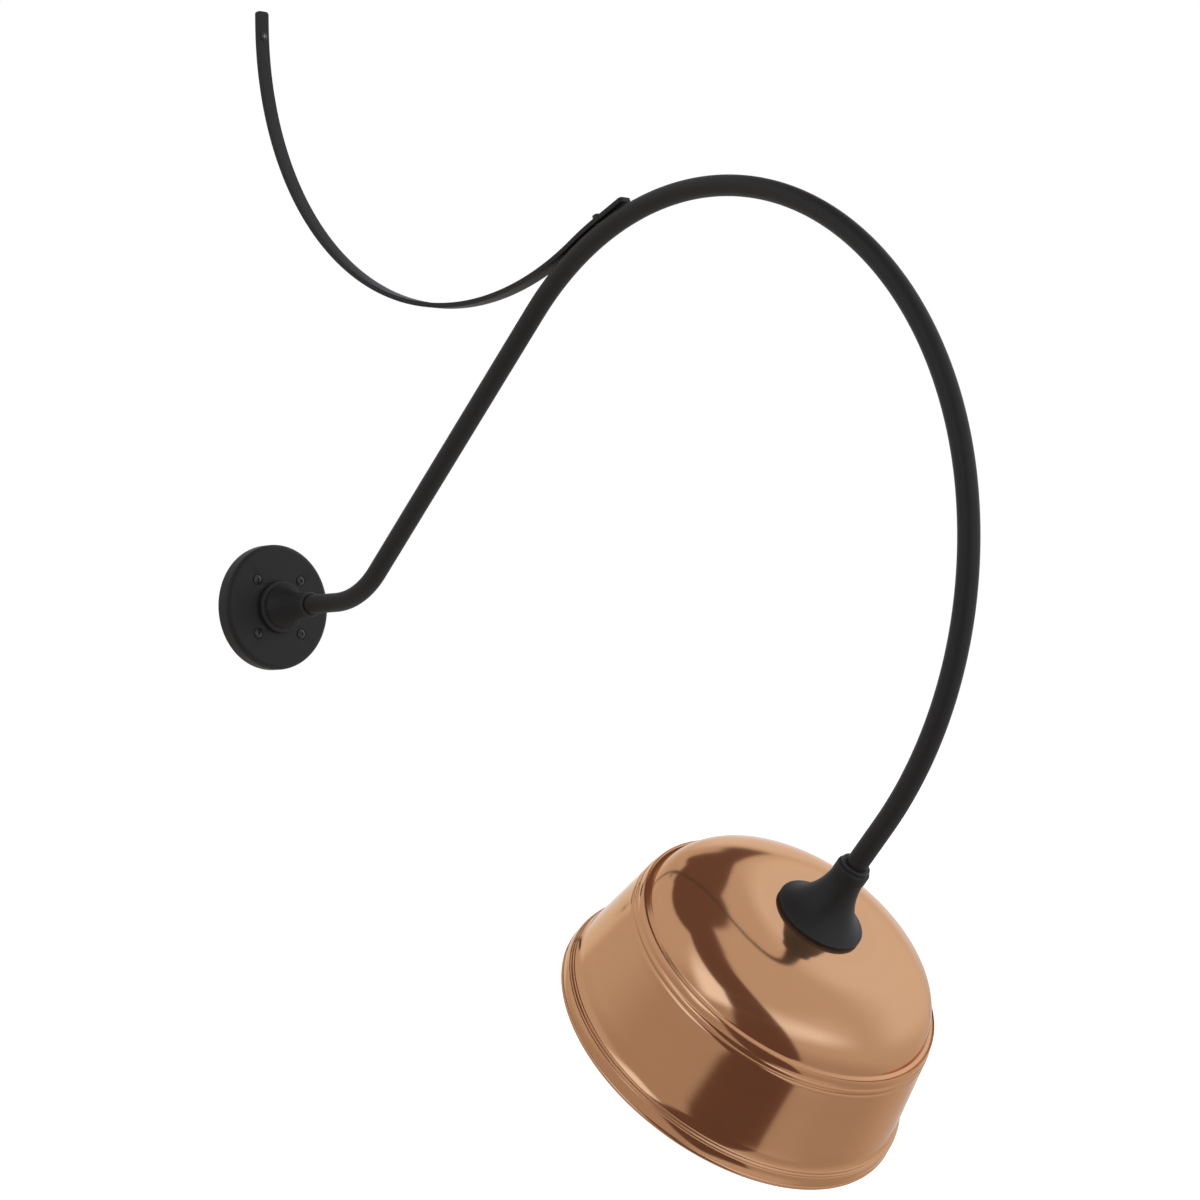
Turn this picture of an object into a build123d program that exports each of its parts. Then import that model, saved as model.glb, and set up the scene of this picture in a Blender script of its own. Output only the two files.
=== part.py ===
"""Gooseneck wall sconce: a bent tube arm on a round wall plate, braced by a flat strap,
carrying a spun metal shade at 45 degrees.

Millimetres. The origin is the centre of the wall plate on the wall, +X points out of the wall
and +Z up. The whole sconce is symmetric about the plane Y = 0.
"""
import os
from math import atan2, cos, degrees, radians, sin, sqrt

from build123d import *

# ---- driving dimensions -------------------------------------------------------------------
tube_d = 19.05              # 3/4 in round tube
tube_wall = 1.65

arm_lead = 111.5            # straight run out of the wall, counted from the wall
arm_rise_r = 95.0           # first bend, up from level
arm_rise = 43.4             # its angle in degrees
arm_rake = 332.7            # straight sloping run
crown_r = 313.4             # large bend over the top
crown_turn = 128.8
tail_r = 348.6              # gentler bend down and back to the wall
tail_turn = 49.6            # the three turns leave the arm 45 degrees below level
arm_stub = 44.8             # straight run down to where the tube enters the fitter
arm_in_fitter = 25.0        # the tube's hidden length inside the fitter

strap_w = 14.3              # 9/16 in flat bar
strap_t = 4.76              # 3/16 in
strap_bend_r = 322.5
strap_top_z = 612.0
strap_tail = 41.0           # straight run past the arm screw
strap_corner_r = 3.2
brace_slope = 22.7          # slope of the arm where the strap is screwed to it, degrees
brace_wall_z = 586.0        # height of the strap's wall screw
brace_screw_grip = 5.5      # length of that screw behind the wall's face
clamp_screw_r = 2.1         # shank of the strap's two screws
clamp_head_r = 3.5

plate_r = 63.5              # 5 in wall plate
plate_depth = 17.8          # from the wall to the plate's face, with the seal
plate_edge_r = 5.8          # rounding of the front edge
plate_wall = 3.0
seal_t = 1.5
screw_pcd = 76.2            # 3 in circle of the four wall screws
wall_screw_r = 2.1
wall_screw_head_r = 4.7
wall_screw_grip = 30.0      # length of the plate's screws behind the wall's face

hub_base_r = 26.5
hub_length = 52.7           # from the plate's face to the hub's end
hub_end_r = 12.4            # the hub's narrow end round the tube
collar_r = 15.3             # the fitter's collar round the tube
collar_length = 11.0

shade_lean = 45.0           # tilt of the lamp axis from the horizontal, degrees
fitter_height = 63.7        # from the shade's top to where the tube shows
bell_r = 39.9
shade_r = 164.1             # outside of the rim band
shade_height = 158.8
shade_t = 1.2               # sheet
skirt_r_top = 145.7         # cone below the shoulder beads
skirt_r_low = 157.5         # cone above the rim beads
dome_flat_r = 56.5          # flat top of the dome
dome_r = 101.5              # large arc of the dome
dome_knee_r = 49.0          # small arc at the dome's edge
dome_knee = 37.4            # slope where the two arcs meet, degrees

nipple_r = 5.1              # 1/8 in lamp pipe
nipple_bore_r = 3.6
gap = 0.3                   # clearance between the lamp and its holder

# ---- places worked out from them ----------------------------------------------------------
tube_r = tube_d / 2
tube_bore_r = tube_r - tube_wall
hub_frame = Plane(origin=(0, 0, 0), x_dir=(0, 0, -1), z_dir=(1, 0, 0))
face_x = plate_depth
hub_end_x = face_x + hub_length


def turned(*edges):
    """Solid of revolution about Z from a closed outline in (radius, height)."""
    return revolve(Plane.XZ * make_face(list(edges)), axis=Axis.Z)


def outline(*points):
    """Closed outline of straight lines through (radius, height) points."""
    return Polyline(*points, close=True)


def ring(r_out, r_in, low, high):
    """Plain ring or, with no inner radius, a disc, along Z."""
    if r_in == 0:
        return Pos(0, 0, low) * Cylinder(r_out, high - low, align=(Align.CENTER, Align.CENTER, Align.MIN))
    return turned(outline((r_in, low), (r_out, low), (r_out, high), (r_in, high)))


def hex_nut(across, bore_r, low, high):
    """Hexagon nut along Z."""
    body = extrude(Pos(0, 0, low) * RegularPolygon(across / sqrt(3), 6), amount=high - low)
    return body - ring(bore_r, 0, low - 1, high + 1)


def screw(shank_r, shank_length, head_r, head_h, neck=0.0, cross=True):
    """Pan-head screw along Z, its head's seat at Z = 0: a thinner plain neck of this length, then the thread."""
    side = head_h * 0.5
    under_head = [(shank_r, -neck), (shank_r * 0.8, -neck), (shank_r * 0.8, 0)] if neck else [(shank_r, 0)]
    solid = turned(
        *outline_edges(
            (0, head_h), (0, -shank_length), (shank_r * 0.4, -shank_length),
            (shank_r, -shank_length + shank_r), *under_head, (head_r, 0), (head_r, side)),
        TangentArc((0, head_h), (head_r, side), tangent=(1, 0)))
    if cross:
        slot = Box(head_r * 1.15, head_r * 0.26, head_h, align=(Align.CENTER, Align.CENTER, Align.MIN))
        solid -= Pos(0, 0, head_h * 0.5) * (slot + Rot(0, 0, 90) * slot)
    return solid


def outline_edges(*points):
    """Straight edges through the points, left open."""
    return [Line(a, b) for a, b in zip(points, points[1:])]


def socket_screw(r, length, key_r):
    """Set screw along Z with a hexagon socket in its upper end, which is at Z = 0."""
    body = ring(r, 0, -length, 0)
    return body - extrude(Pos(0, 0, -length * 0.45) * RegularPolygon(key_r, 6), amount=length)


class Run:
    """Walks along a path in the plane Y = 0 and makes one solid for each step."""

    def __init__(self, section, start, heading):
        self.section, self.heading = section, heading
        self.x, self.z = start
        self.solids = []

    def frame(self):
        """Plane across the path: X is sideways, Y is to the left of the way ahead."""
        h = radians(self.heading)
        return Plane(origin=(self.x, 0, self.z), x_dir=(0, 1, 0), z_dir=(cos(h), 0, sin(h)))

    def straight(self, length):
        h = radians(self.heading)
        self.solids.append(extrude(self.frame() * self.section, amount=length))
        self.x += length * cos(h)
        self.z += length * sin(h)

    def bend(self, radius, turn):
        """Positive turns lead from +X towards +Z."""
        side = 1 if turn > 0 else -1
        h = radians(self.heading)
        centre = (self.x - side * radius * sin(h), 0, self.z + side * radius * cos(h))
        axis = Axis(centre, (0, -side, 0))
        self.solids.append(revolve(self.frame() * self.section, axis=axis, revolution_arc=abs(turn)))
        self.heading += turn
        h = radians(self.heading)
        self.x = centre[0] + side * radius * sin(h)
        self.z = centre[2] - side * radius * cos(h)
        return centre[0], centre[2]

    def solid(self):
        whole = self.solids[0]
        for step in self.solids[1:]:
            whole += step
        return whole


# ---- arm ----------------------------------------------------------------------------------
hub_bore_end_x = face_x + 17.2      # the arm's upper end, inside the hub
arm = Run(Circle(tube_r) - Circle(tube_bore_r), (hub_bore_end_x, 0), 0)
arm.straight(arm_lead - hub_bore_end_x)
arm.bend(arm_rise_r, arm_rise)
arm.straight(arm_rake)
crown_x, crown_z = arm.bend(crown_r, -crown_turn)
arm.bend(tail_r, -tail_turn)
arm.straight(arm_stub)
fitter_x, fitter_z = arm.x, arm.z   # where the tube enters the fitter
arm.straight(arm_in_fitter)

# The lamp axis runs on along the arm's end. Heights on it count up from the rim's plane.
lean = radians(shade_lean)
rim_to_fitter = shade_height + fitter_height
lamp_frame = Plane(
    origin=(fitter_x - rim_to_fitter * cos(lean), 0, fitter_z - rim_to_fitter * sin(lean)),
    x_dir=(sin(lean), 0, -cos(lean)),
    z_dir=(cos(lean), 0, sin(lean)))

# Where the strap is screwed on: a plane whose Z points out of the arm.
slope = radians(brace_slope)
out_x, out_z = -sin(slope), cos(slope)


def arm_top(height):
    """Plane square to the arm's top at the strap's screw, this far above the tube's surface."""
    reach = crown_r + tube_r + height
    return Plane(
        origin=(crown_x + reach * out_x, 0, crown_z + reach * out_z),
        x_dir=(cos(slope), 0, sin(slope)), z_dir=(out_x, 0, out_z))


blind_nut_r = 3.6
blind_nut_length = 9.0


def arm_tube():
    tube = arm.solid()
    return tube - arm_top(1).location * ring(blind_nut_r, 0, -6, 2)


def brace_rivet_nut():
    """Blind nut set flush in the arm's upper wall, with its collar closed under the wall."""
    barrel = ring(blind_nut_r, clamp_screw_r, -blind_nut_length, -0.05)
    collar = ring(blind_nut_r + 1.0, blind_nut_r, -tube_wall - 3.8, -tube_wall - 1.8)
    return arm_top(0).location * (barrel + collar)


# ---- brace --------------------------------------------------------------------------------
strap_mid_x = strap_t / 2
strap_centre_x = strap_mid_x + strap_bend_r
reach_to_crown = strap_bend_r + strap_t / 2 + crown_r + tube_r
strap_centre_z = crown_z + sqrt(reach_to_crown**2 - (crown_x - strap_centre_x)**2)
touch = degrees(atan2(crown_x - strap_centre_x, strap_centre_z - crown_z))


def strap_run():
    """Down the wall, round to the arm, along its top past the screw, and straight off."""
    run = Run(Rectangle(strap_w, strap_t), (strap_mid_x, strap_top_z), -90)
    run.straight(strap_top_z - strap_centre_z)
    run.bend(strap_bend_r, 90 + touch)
    run.bend(crown_r + tube_r + strap_t / 2, brace_slope - touch)
    run.straight(strap_tail)
    return run


def brace_strap():
    run = strap_run()
    bar = run.solid()
    ends = [e for e in bar.edges() if abs(e.length - strap_t) < 0.01]
    bar = fillet(ends, strap_corner_r)
    wall_hole = Plane(origin=(0, 0, brace_wall_z), z_dir=(1, 0, 0)).location
    bar -= wall_hole * ring(clamp_screw_r + 0.2, 0, -1, strap_t + 2)
    bar -= wall_hole * ring(clamp_head_r + 0.6, 0, strap_t - 0.05, strap_t + 3)
    bar -= arm_top(0).location * ring(clamp_screw_r + 0.2, 0, -1, strap_t + 2)
    bar -= arm_top(strap_t - 0.05).location * ring(clamp_head_r + 0.4, 0, 0, 3)
    return bar


def brace_wall_screw():
    """Its thread begins at the wall's face."""
    through = strap_t - 0.05
    seat = Plane(origin=(through, 0, brace_wall_z), z_dir=(1, 0, 0)).location
    return seat * screw(clamp_screw_r, through + brace_screw_grip, clamp_head_r + 0.4, 2.2, neck=through)


def brace_arm_screw():
    seat = arm_top(strap_t - 0.05).location
    return seat * screw(clamp_screw_r, strap_t + blind_nut_length, clamp_head_r, 3.4)


# ---- wall plate and hub -------------------------------------------------------------------
def at_wall_screws(shape):
    """One copy of the shape at each of the four wall screws."""
    reach = screw_pcd / 2
    spots = [(reach * cos(radians(a)), reach * sin(radians(a))) for a in (45, 135, 225, 315)]
    copies = Pos(*spots[0], 0) * shape
    for spot in spots[1:]:
        copies += Pos(*spot, 0) * shape
    return copies


head_sink = 1.0             # depth of the recess round each wall screw's head
hub_hole_r = 10.7
boss_r = 7.0
earth_reach = 44.0          # distance of the earth screw below the plate's centre


def wall_plate():
    knee = face_x - plate_edge_r
    shell = turned(
        *outline_edges((plate_r - plate_wall, seal_t), (plate_r, seal_t), (plate_r, knee)),
        RadiusArc((plate_r, knee), (plate_r - plate_edge_r, face_x), plate_edge_r),
        *outline_edges(
            (plate_r - plate_edge_r, face_x), (hub_hole_r, face_x), (hub_hole_r, face_x - plate_wall),
            (plate_r - plate_wall - 2, face_x - plate_wall),
            (plate_r - plate_wall, face_x - plate_wall - 2), (plate_r - plate_wall, seal_t)))
    shell += at_wall_screws(ring(boss_r, 0, seal_t, face_x - plate_wall))
    shell += Pos(earth_reach, 0, 0) * ring(4.5, 0, face_x - plate_wall - 3, face_x - plate_wall)
    shell -= at_wall_screws(ring(wall_screw_r + 0.3, 0, -1, face_x + 1))
    shell -= at_wall_screws(ring(wall_screw_head_r + 0.9, 0, face_x - head_sink, face_x + 1))
    shell -= Pos(earth_reach, 0, 0) * ring(2.0, 0, face_x - plate_wall - 4, face_x - 1.2)
    return hub_frame.location * shell


def wall_gasket():
    return hub_frame.location * ring(plate_r - 0.4, plate_r - plate_wall - 3.5, 0, seal_t)


def plate_screws():
    """Their threads begin at the wall's face."""
    seat = face_x - head_sink
    one = Pos(0, 0, seat) * screw(wall_screw_r, seat + wall_screw_grip, wall_screw_head_r, 2.9, neck=seat)
    return hub_frame.location * at_wall_screws(one)


def earth_screw():
    """Hexagon-head screw in the plate's hollow, its head towards the wall."""
    seat = face_x - plate_wall - 3
    head = extrude(Pos(0, 0, seat - 2.9) * RegularPolygon(4.6, 6), amount=2.9)
    shank = ring(2.0, 0, seat - 0.5, face_x - 1.6)
    return hub_frame.location * (Pos(earth_reach, 0, 0) * (head + shank))


def collar_edges(end, neck_r):
    """Open outline of the fitter's collar, from its bore at the end round to the neck it stands on."""
    inner = tube_r + 0.1
    start = end - collar_length
    return [
        Line((inner, end), (collar_r - 2.6, end)),
        RadiusArc((collar_r - 2.6, end), (collar_r, end - 2.6), -2.6),
        Line((collar_r, end - 2.6), (collar_r, start + 0.8)),
        Line((collar_r, start + 0.8), (neck_r, start)),
    ]


hub_nipple_r = 10.5


def wall_hub():
    """Base ring and a flared cone that narrows to the tube, turned in one piece."""
    neck = (hub_end_r, hub_end_x - 9)
    waist = (15.6, face_x + 21)
    cone = TangentArc(neck, waist, tangent=(0.01, -1))
    flare = TangentArc(waist, (21.6, face_x + 8.4), tangent=cone % 1)
    hub = turned(
        Line((tube_r + 0.1, hub_end_x), (hub_end_r - 1.2, hub_end_x)),
        RadiusArc((hub_end_r - 1.2, hub_end_x), (hub_end_r, hub_end_x - 1.2), -1.2),
        Line((hub_end_r, hub_end_x - 1.2), neck),
        cone, flare,
        Line((21.6, face_x + 8.4), (21.9, face_x + 6.2)),
        Line((21.9, face_x + 6.2), (24.3, face_x + 6.2)),
        RadiusArc((24.3, face_x + 6.2), (hub_base_r, face_x + 4.0), -2.2),
        *outline_edges(
            (hub_base_r, face_x + 4.0), (hub_base_r, face_x), (hub_nipple_r, face_x),
            (hub_nipple_r, face_x + 14), (tube_bore_r, face_x + 14),
            (tube_bore_r, hub_bore_end_x), (tube_r + 0.1, hub_bore_end_x), (tube_r + 0.1, hub_end_x)))
    return hub_frame.location * (hub - Pos(0, 0, hub_end_x - 5) * Rot(0, 90, 0) * ring(2.5, 0, 0, 30))


def hub_set_screw():
    """From below, through the hub's end onto the tube."""
    tip = hub_end_r - 0.3
    return Pos(hub_end_x - 5, 0, -tip) * Rot(180, 0, 0) * socket_screw(2.5, tip - tube_r, 1.4)


hub_washer_t = 1.8


def hub_nipple():
    return hub_frame.location * ring(hub_nipple_r, tube_bore_r - 0.3, 3.2, face_x + 14)


def hub_washer():
    top = face_x - plate_wall
    return hub_frame.location * ring(17.0, hub_nipple_r, top - hub_washer_t, top)


def hub_locknut():
    top = face_x - plate_wall - hub_washer_t
    return hub_frame.location * hex_nut(27.0, hub_nipple_r, top - 4.0, top)


# ---- fitter -------------------------------------------------------------------------------
def on_lamp(shape):
    """A shape made along Z, put on the lamp axis with Z = 0 at the rim's plane."""
    return lamp_frame.location * shape


tube_end = rim_to_fitter - arm_in_fitter
ring_low = rim_to_fitter - 3.2      # the small ring round the tube, on the fitter's collar
bell_web_low = tube_end - 6.0       # the web that the tube's end stands on


def fitter_bell():
    """Flared bell with a collar at its top and a hollow over the shade's top."""
    neck = (collar_r - 0.5, ring_low - collar_length)
    waist = (18.7, neck[1] - 20)
    knee = (28.0, shade_height + 13.0)
    lip = (bell_r - 0.6, shade_height + 4.0)
    cone = TangentArc(neck, waist, tangent=(0.05, -1))
    flare = TangentArc(waist, knee, tangent=cone % 1)
    skirt = TangentArc(knee, lip, tangent=flare % 1)
    bell = turned(
        *collar_edges(ring_low, collar_r - 0.5),
        cone, flare, skirt,
        RadiusArc(lip, (bell_r, shade_height + 3.0), -1.0),
        *outline_edges(
            (bell_r, shade_height + 3.0), (bell_r, shade_height), (bell_r - 3.0, shade_height),
            (bell_r - 3.6, shade_height + 2.0), (25.0, shade_height + 11.0),
            (15.6, bell_web_low - 8), (15.0, bell_web_low), (nipple_r, bell_web_low),
            (nipple_r, tube_end), (tube_r + 0.1, tube_end), (tube_r + 0.1, ring_low)))
    bell -= Pos(0, 0, ring_low - 6) * Rot(0, 90, 0) * ring(2.5, 0, 0, 30)
    return on_lamp(bell)


def fitter_ring():
    rim = 1.0
    top = rim_to_fitter
    return on_lamp(turned(
        *outline_edges((13.2 - rim, top), (tube_r, top), (tube_r, ring_low), (13.2, ring_low), (13.2, top - rim)),
        RadiusArc((13.2 - rim, top), (13.2, top - rim), rim)))


def fitter_set_screw():
    """On the side away from the wall, through the collar onto the tube."""
    tip = collar_r - 0.7
    return on_lamp(Pos(tip, 0, ring_low - 6) * Rot(0, 90, 0) * socket_screw(2.5, tip - tube_r, 1.4))


def arm_end_bushing():
    return on_lamp(ring(tube_bore_r, nipple_r, tube_end, tube_end + 12))


# ---- shade --------------------------------------------------------------------------------
bead_base = 95.0            # height of the shoulder beads


def dome_arcs(t):
    """The dome's flat, large arc and knee, this far inside the outer surface, top first."""
    knee = radians(dome_knee)
    big_z = shade_height - dome_r
    small_r = dome_flat_r + (dome_r - dome_knee_r) * sin(knee)
    small_z = big_z + (dome_r - dome_knee_r) * cos(knee)
    side = radians(76)

    def on_big(a):
        return dome_flat_r + (dome_r - t) * sin(a), big_z + (dome_r - t) * cos(a)

    def on_small(a):
        return small_r + (dome_knee_r - t) * sin(a), small_z + (dome_knee_r - t) * cos(a)

    flat = Line((nipple_r + 0.2, shade_height - t), (dome_flat_r, shade_height - t))
    big = ThreePointArc(on_big(0), on_big(knee / 2), on_big(knee))
    small = ThreePointArc(on_small(knee), on_small((knee + side) / 2), on_small(side))
    return [flat, big, small]


def bead(low, high, r_low, r_high, stand):
    """Rounded bead between two heights, its middle standing out by this much."""
    middle = ((r_low + r_high) / 2 + stand, (low + high) / 2)
    return ThreePointArc((r_high, high), middle, (r_low, low))


def spun_sheet():
    """Dome, three stepped beads, conical skirt, two fine beads and a rolled rim band."""
    outer = dome_arcs(0)
    inner = dome_arcs(shade_t)
    dome_foot = outer[-1] @ 1
    inner_foot = inner[-1] @ 1
    b = bead_base
    top_bead = (141.4, b + 14.6)
    outside = [
        TangentArc(dome_foot, top_bead, tangent=outer[-1] % 1),
        bead(b + 11.6, b + 14.6, 142.0, 141.4, 0.9),
        Line((142.0, b + 11.6), (142.7, b + 11.2)),
        bead(b + 7.2, b + 11.2, 143.1, 142.7, 1.1),
        Line((143.1, b + 7.2), (143.5, b + 6.6)),
        bead(b + 1.8, b + 6.6, 144.2, 143.5, 1.3),
        Line((144.2, b + 1.8), (144.3, b + 1.2)),
        ThreePointArc((144.3, b + 1.2), (144.9, b + 0.4), (skirt_r_top, b - 2.2)),
        Line((skirt_r_top, b - 2.2), (skirt_r_low, 27.5)),
        ThreePointArc((skirt_r_low, 27.5), (158.5, 22.6), (160.3, 18.9)),
        bead(16.8, 18.9, 161.2, 160.3, 0.6),
        Line((161.2, 16.8), (161.6, 16.4)),
        bead(14.4, 16.4, 162.4, 161.6, 0.6),
        Line((162.4, 14.4), (163.1, 14.0)),
        ThreePointArc((163.1, 14.0), (shade_r, 9.0), (shade_r - 0.3, 4.2)),
        ThreePointArc((shade_r - 0.3, 4.2), (162.0, 0.0), (160.2, 1.9)),
    ]
    inside = outline_edges((160.2, 1.9), (161.4, 4.2), (162.2, 6.0), (161.8, 13.0), (159.9, 15.2))
    inside += outline_edges((159.9, 15.2), (158.9, 18.0), (156.2, 27.5), (144.0, b - 2.2), (142.3, b + 1.0))
    inside += outline_edges((142.3, b + 1.0), (141.2, b + 8.0), (139.6, b + 14.0), tuple(inner_foot)[:2])
    centre_edge = Line(inner[0] @ 0, outer[0] @ 0)
    return turned(*outer, *outside, *inside, *inner, centre_edge)


seam = Plane.XY.offset(bead_base - 2.2)     # under the shoulder beads


def shade():
    """The sheet's dome with the shoulder beads."""
    return on_lamp(split(spun_sheet(), bisect_by=seam, keep=Keep.TOP))


def shade_skirt():
    """The sheet's conical skirt with its rim, which runs on from the dome."""
    return on_lamp(split(spun_sheet(), bisect_by=seam, keep=Keep.BOTTOM))


washer_t = 1.5
nut_t = 4.0


def shade_washer():
    top = shade_height - shade_t
    return on_lamp(ring(19.0, nipple_r, top - washer_t, top))


def shade_locknut():
    top = shade_height - shade_t - washer_t
    return on_lamp(hex_nut(16.0, nipple_r, top - nut_t, top))


# ---- lampholder ---------------------------------------------------------------------------
cap_top = shade_height - shade_t - washer_t - nut_t
cap_low = cap_top - 22.0            # lower edge of the metal cap, round the ceramic's top
body_top = cap_top - 13.0
body_low = body_top - 45.0
shell_r = 13.9                      # outside of the screw shell
shell_t = 0.45
shell_top = body_top - 12.0
body_r = 19.4


def lamp_nipple():
    """Threaded pipe from the arm's end through bell, shade, washer and nut into the holder's cap."""
    return on_lamp(ring(nipple_r, nipple_bore_r, body_top - 5, tube_end + 9))


def lampholder_cap():
    """Pressed cap with a threaded hub for the nipple."""
    return on_lamp(turned(
        *outline_edges((nipple_r, cap_top), (8.6, cap_top), (8.6, cap_top - 9)),
        ThreePointArc((8.6, cap_top - 9), (17.6, cap_top - 12.2), (body_r + 1.4, cap_top - 18)),
        *outline_edges((body_r + 1.4, cap_top - 18), (body_r + 1.4, cap_low), (body_r, cap_low), (body_r, body_top - 4)),
        Line((body_r, body_top - 4), (body_r - 4, body_top)),
        *outline_edges((body_r - 4, body_top), (nipple_r, body_top), (nipple_r, cap_top))))


def at_sides(shape, reach, turn=0):
    """Two copies, one each side of the lamp axis."""
    spread = Pos(reach, 0, 0) * shape + Rot(0, 0, 180) * (Pos(reach, 0, 0) * shape)
    return Rot(0, 0, turn) * spread


def lampholder_body():
    """Ceramic barrel with a socket for the screw shell and a wiring space above it."""
    mouth_r = shell_r + 1.6
    barrel = turned(
        *outline_edges((nipple_r + 2, body_top), (body_r - 4, body_top), (body_r, body_top - 4), (body_r, cap_low - 1)),
        Line((body_r, cap_low - 1), (body_r + 1.6, cap_low - 1)),
        Line((body_r + 1.6, cap_low - 1), (body_r + 1.6, body_low + 3)),
        RadiusArc((body_r + 1.6, body_low + 3), (body_r - 1.4, body_low), 3.0),
        *outline_edges(
            (body_r - 1.4, body_low), (mouth_r, body_low), (mouth_r, body_low + 6), (shell_r, body_low + 6),
            (shell_r, shell_top), (1.6, shell_top), (1.6, body_top - 6), (nipple_r + 2, body_top - 6),
            (nipple_r + 2, body_top)))
    barrel -= at_sides(ring(1.5, 0, shell_top - 1, body_top + 1), 12.0)
    barrel -= at_sides(ring(1.7, 0, body_top - 7, body_top + 1), 11.5, 90)
    return on_lamp(barrel)


def lampholder_shell():
    """Screw shell, its closed end against the ceramic, with a wide hole for the centre contact."""
    return on_lamp(turned(outline(
        (shell_r, body_low + 6), (shell_r, shell_top), (8.0, shell_top), (8.0, shell_top - shell_t),
        (shell_r - shell_t, shell_top - shell_t), (shell_r - shell_t, body_low + 6))))


contact_low = shell_top - 3.2


def lampholder_contact():
    """Sprung centre contact: a bent tongue on a rivet through the ceramic."""
    foot = Pos(0, 0, shell_top - 0.4) * Box(12, 5, 0.8)
    riser = Pos(-5.6, 0, shell_top - 1.6) * Box(0.8, 5, 3.2)
    tongue = Pos(-1.0, 0, contact_low + 0.4) * Box(10, 5, 0.8)
    rivet = ring(1.6, 0, shell_top - 0.1, shell_top + 6.0)
    return on_lamp(foot + riser + tongue + rivet)


def lampholder_screws():
    """Two screws from the wiring space down through the ceramic into the shell's end."""
    return on_lamp(at_sides(ring(1.5, 0, shell_top, body_top), 12.0))


def terminal_screws():
    """Two terminal screws standing in the ceramic's top."""
    return on_lamp(at_sides(ring(1.7, 0, body_top - 7, body_top), 11.5, 90))


# ---- lamp ---------------------------------------------------------------------------------
lamp_length = 106.0
lamp_r = 30.0
lamp_top = contact_low - gap
lamp_ball = lamp_top - lamp_length + lamp_r     # height of the bulb's centre
lamp_cap_r = shell_r - shell_t - gap
lamp_cap_low = lamp_top - 25.5
lamp_cap_t = 0.6
glass_t = 0.8


def glass_outline(t):
    """Half outline of the bulb, this far inside the glass's outer surface, from the tip up."""
    r = lamp_r - t
    side = radians(32)
    tip = (0, lamp_ball - r)
    side_point = (r * cos(side), lamp_ball + r * sin(side))
    ball = ThreePointArc(tip, (r * cos(-0.6), lamp_ball + r * sin(-0.6)), side_point)
    neck_r = lamp_cap_r - lamp_cap_t - t
    neck = TangentArc(side_point, (neck_r, lamp_cap_low), tangent=ball % 1)
    return [ball, neck, Line((neck_r, lamp_cap_low), (neck_r, lamp_cap_low + 6))]


def bulb_glass():
    outer = glass_outline(0)
    inner = glass_outline(glass_t)
    rim = Line(outer[-1] @ 1, inner[-1] @ 1)
    tip = Line(outer[0] @ 0, inner[0] @ 0)
    return on_lamp(turned(*outer, rim, *inner, tip))


def bulb_cap():
    """Screw cap: a thin shell cemented round the glass neck, drawn in at its upper end."""
    top = lamp_top - 4.0
    r = lamp_cap_r
    return on_lamp(turned(outline(
        (r, lamp_cap_low), (r, top - 2), (r - 2.4, top), (5.0, top), (5.0, top - 0.5), (r - 2.8, top - 0.5),
        (r - lamp_cap_t, top - 2.4), (r - lamp_cap_t, lamp_cap_low))))


def bulb_insulator():
    top = lamp_top - 1.2
    return on_lamp(turned(outline((0, top), (4.6, top), (8.6, lamp_top - 4.0), (0, lamp_top - 4.0))))


def bulb_contact():
    low = lamp_top - 1.2
    edge = low + 0.4
    return on_lamp(turned(
        *outline_edges((0, low), (4.4, low), (4.4, edge)),
        TangentArc((0, lamp_top), (4.4, edge), tangent=(1, 0)),
        Line((0, lamp_top), (0, low))))


stem_top = lamp_cap_low + 6.0
stem_low = lamp_ball + 12.0
filament_z = lamp_ball - 2.0
filament_w = 28.0


def filament_wires():
    """Two lead wires down from the stem."""
    wire = ring(0.5, 0, filament_z, stem_top - 15)
    return Pos(2.6, 0, 0) * wire + Pos(-2.6, 0, 0) * wire


def bulb_stem():
    """Glass mount: a flare sealed to the neck and a rod, with the lead wires sealed in it."""
    neck = lamp_cap_r - lamp_cap_t - glass_t
    mount = turned(
        *outline_edges((0, stem_top), (neck, stem_top), (neck, stem_top - 0.8)),
        ThreePointArc((neck, stem_top - 0.8), (5.4, stem_top - 4.5), (3.4, stem_top - 14)),
        *outline_edges((3.4, stem_top - 14), (1.8, stem_top - 22), (1.8, stem_low), (0, stem_low), (0, stem_top)))
    return on_lamp(mount - filament_wires())


def bulb_filament():
    """The lead wires and the filament across their ends."""
    coil = Pos(0, 0, filament_z) * Box(filament_w, 1.0, 1.0)
    return on_lamp(filament_wires() + coil)


# ---- write --------------------------------------------------------------------------------
pieces = [
    wall_plate, wall_gasket, plate_screws, earth_screw, wall_hub, hub_set_screw, hub_nipple, hub_washer,
    hub_locknut, arm_tube, brace_rivet_nut, brace_strap, brace_wall_screw, brace_arm_screw, fitter_ring,
    fitter_bell, fitter_set_screw, arm_end_bushing, lamp_nipple, shade, shade_skirt, shade_washer, shade_locknut,
    lampholder_cap, lampholder_body, lampholder_shell, lampholder_contact, lampholder_screws,
    terminal_screws, bulb_glass, bulb_cap, bulb_insulator, bulb_contact, bulb_stem, bulb_filament,
]

os.makedirs("parts", exist_ok=True)
for piece in pieces:
    export_step(piece(), f"parts/{piece.__name__}.step")

print("fitter", round(fitter_x, 2), round(fitter_z, 2), "rim centre", lamp_frame.origin)
print("strap touches the arm at a slope of", round(touch, 2), "strap centre z", round(strap_centre_z, 2))
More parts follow.
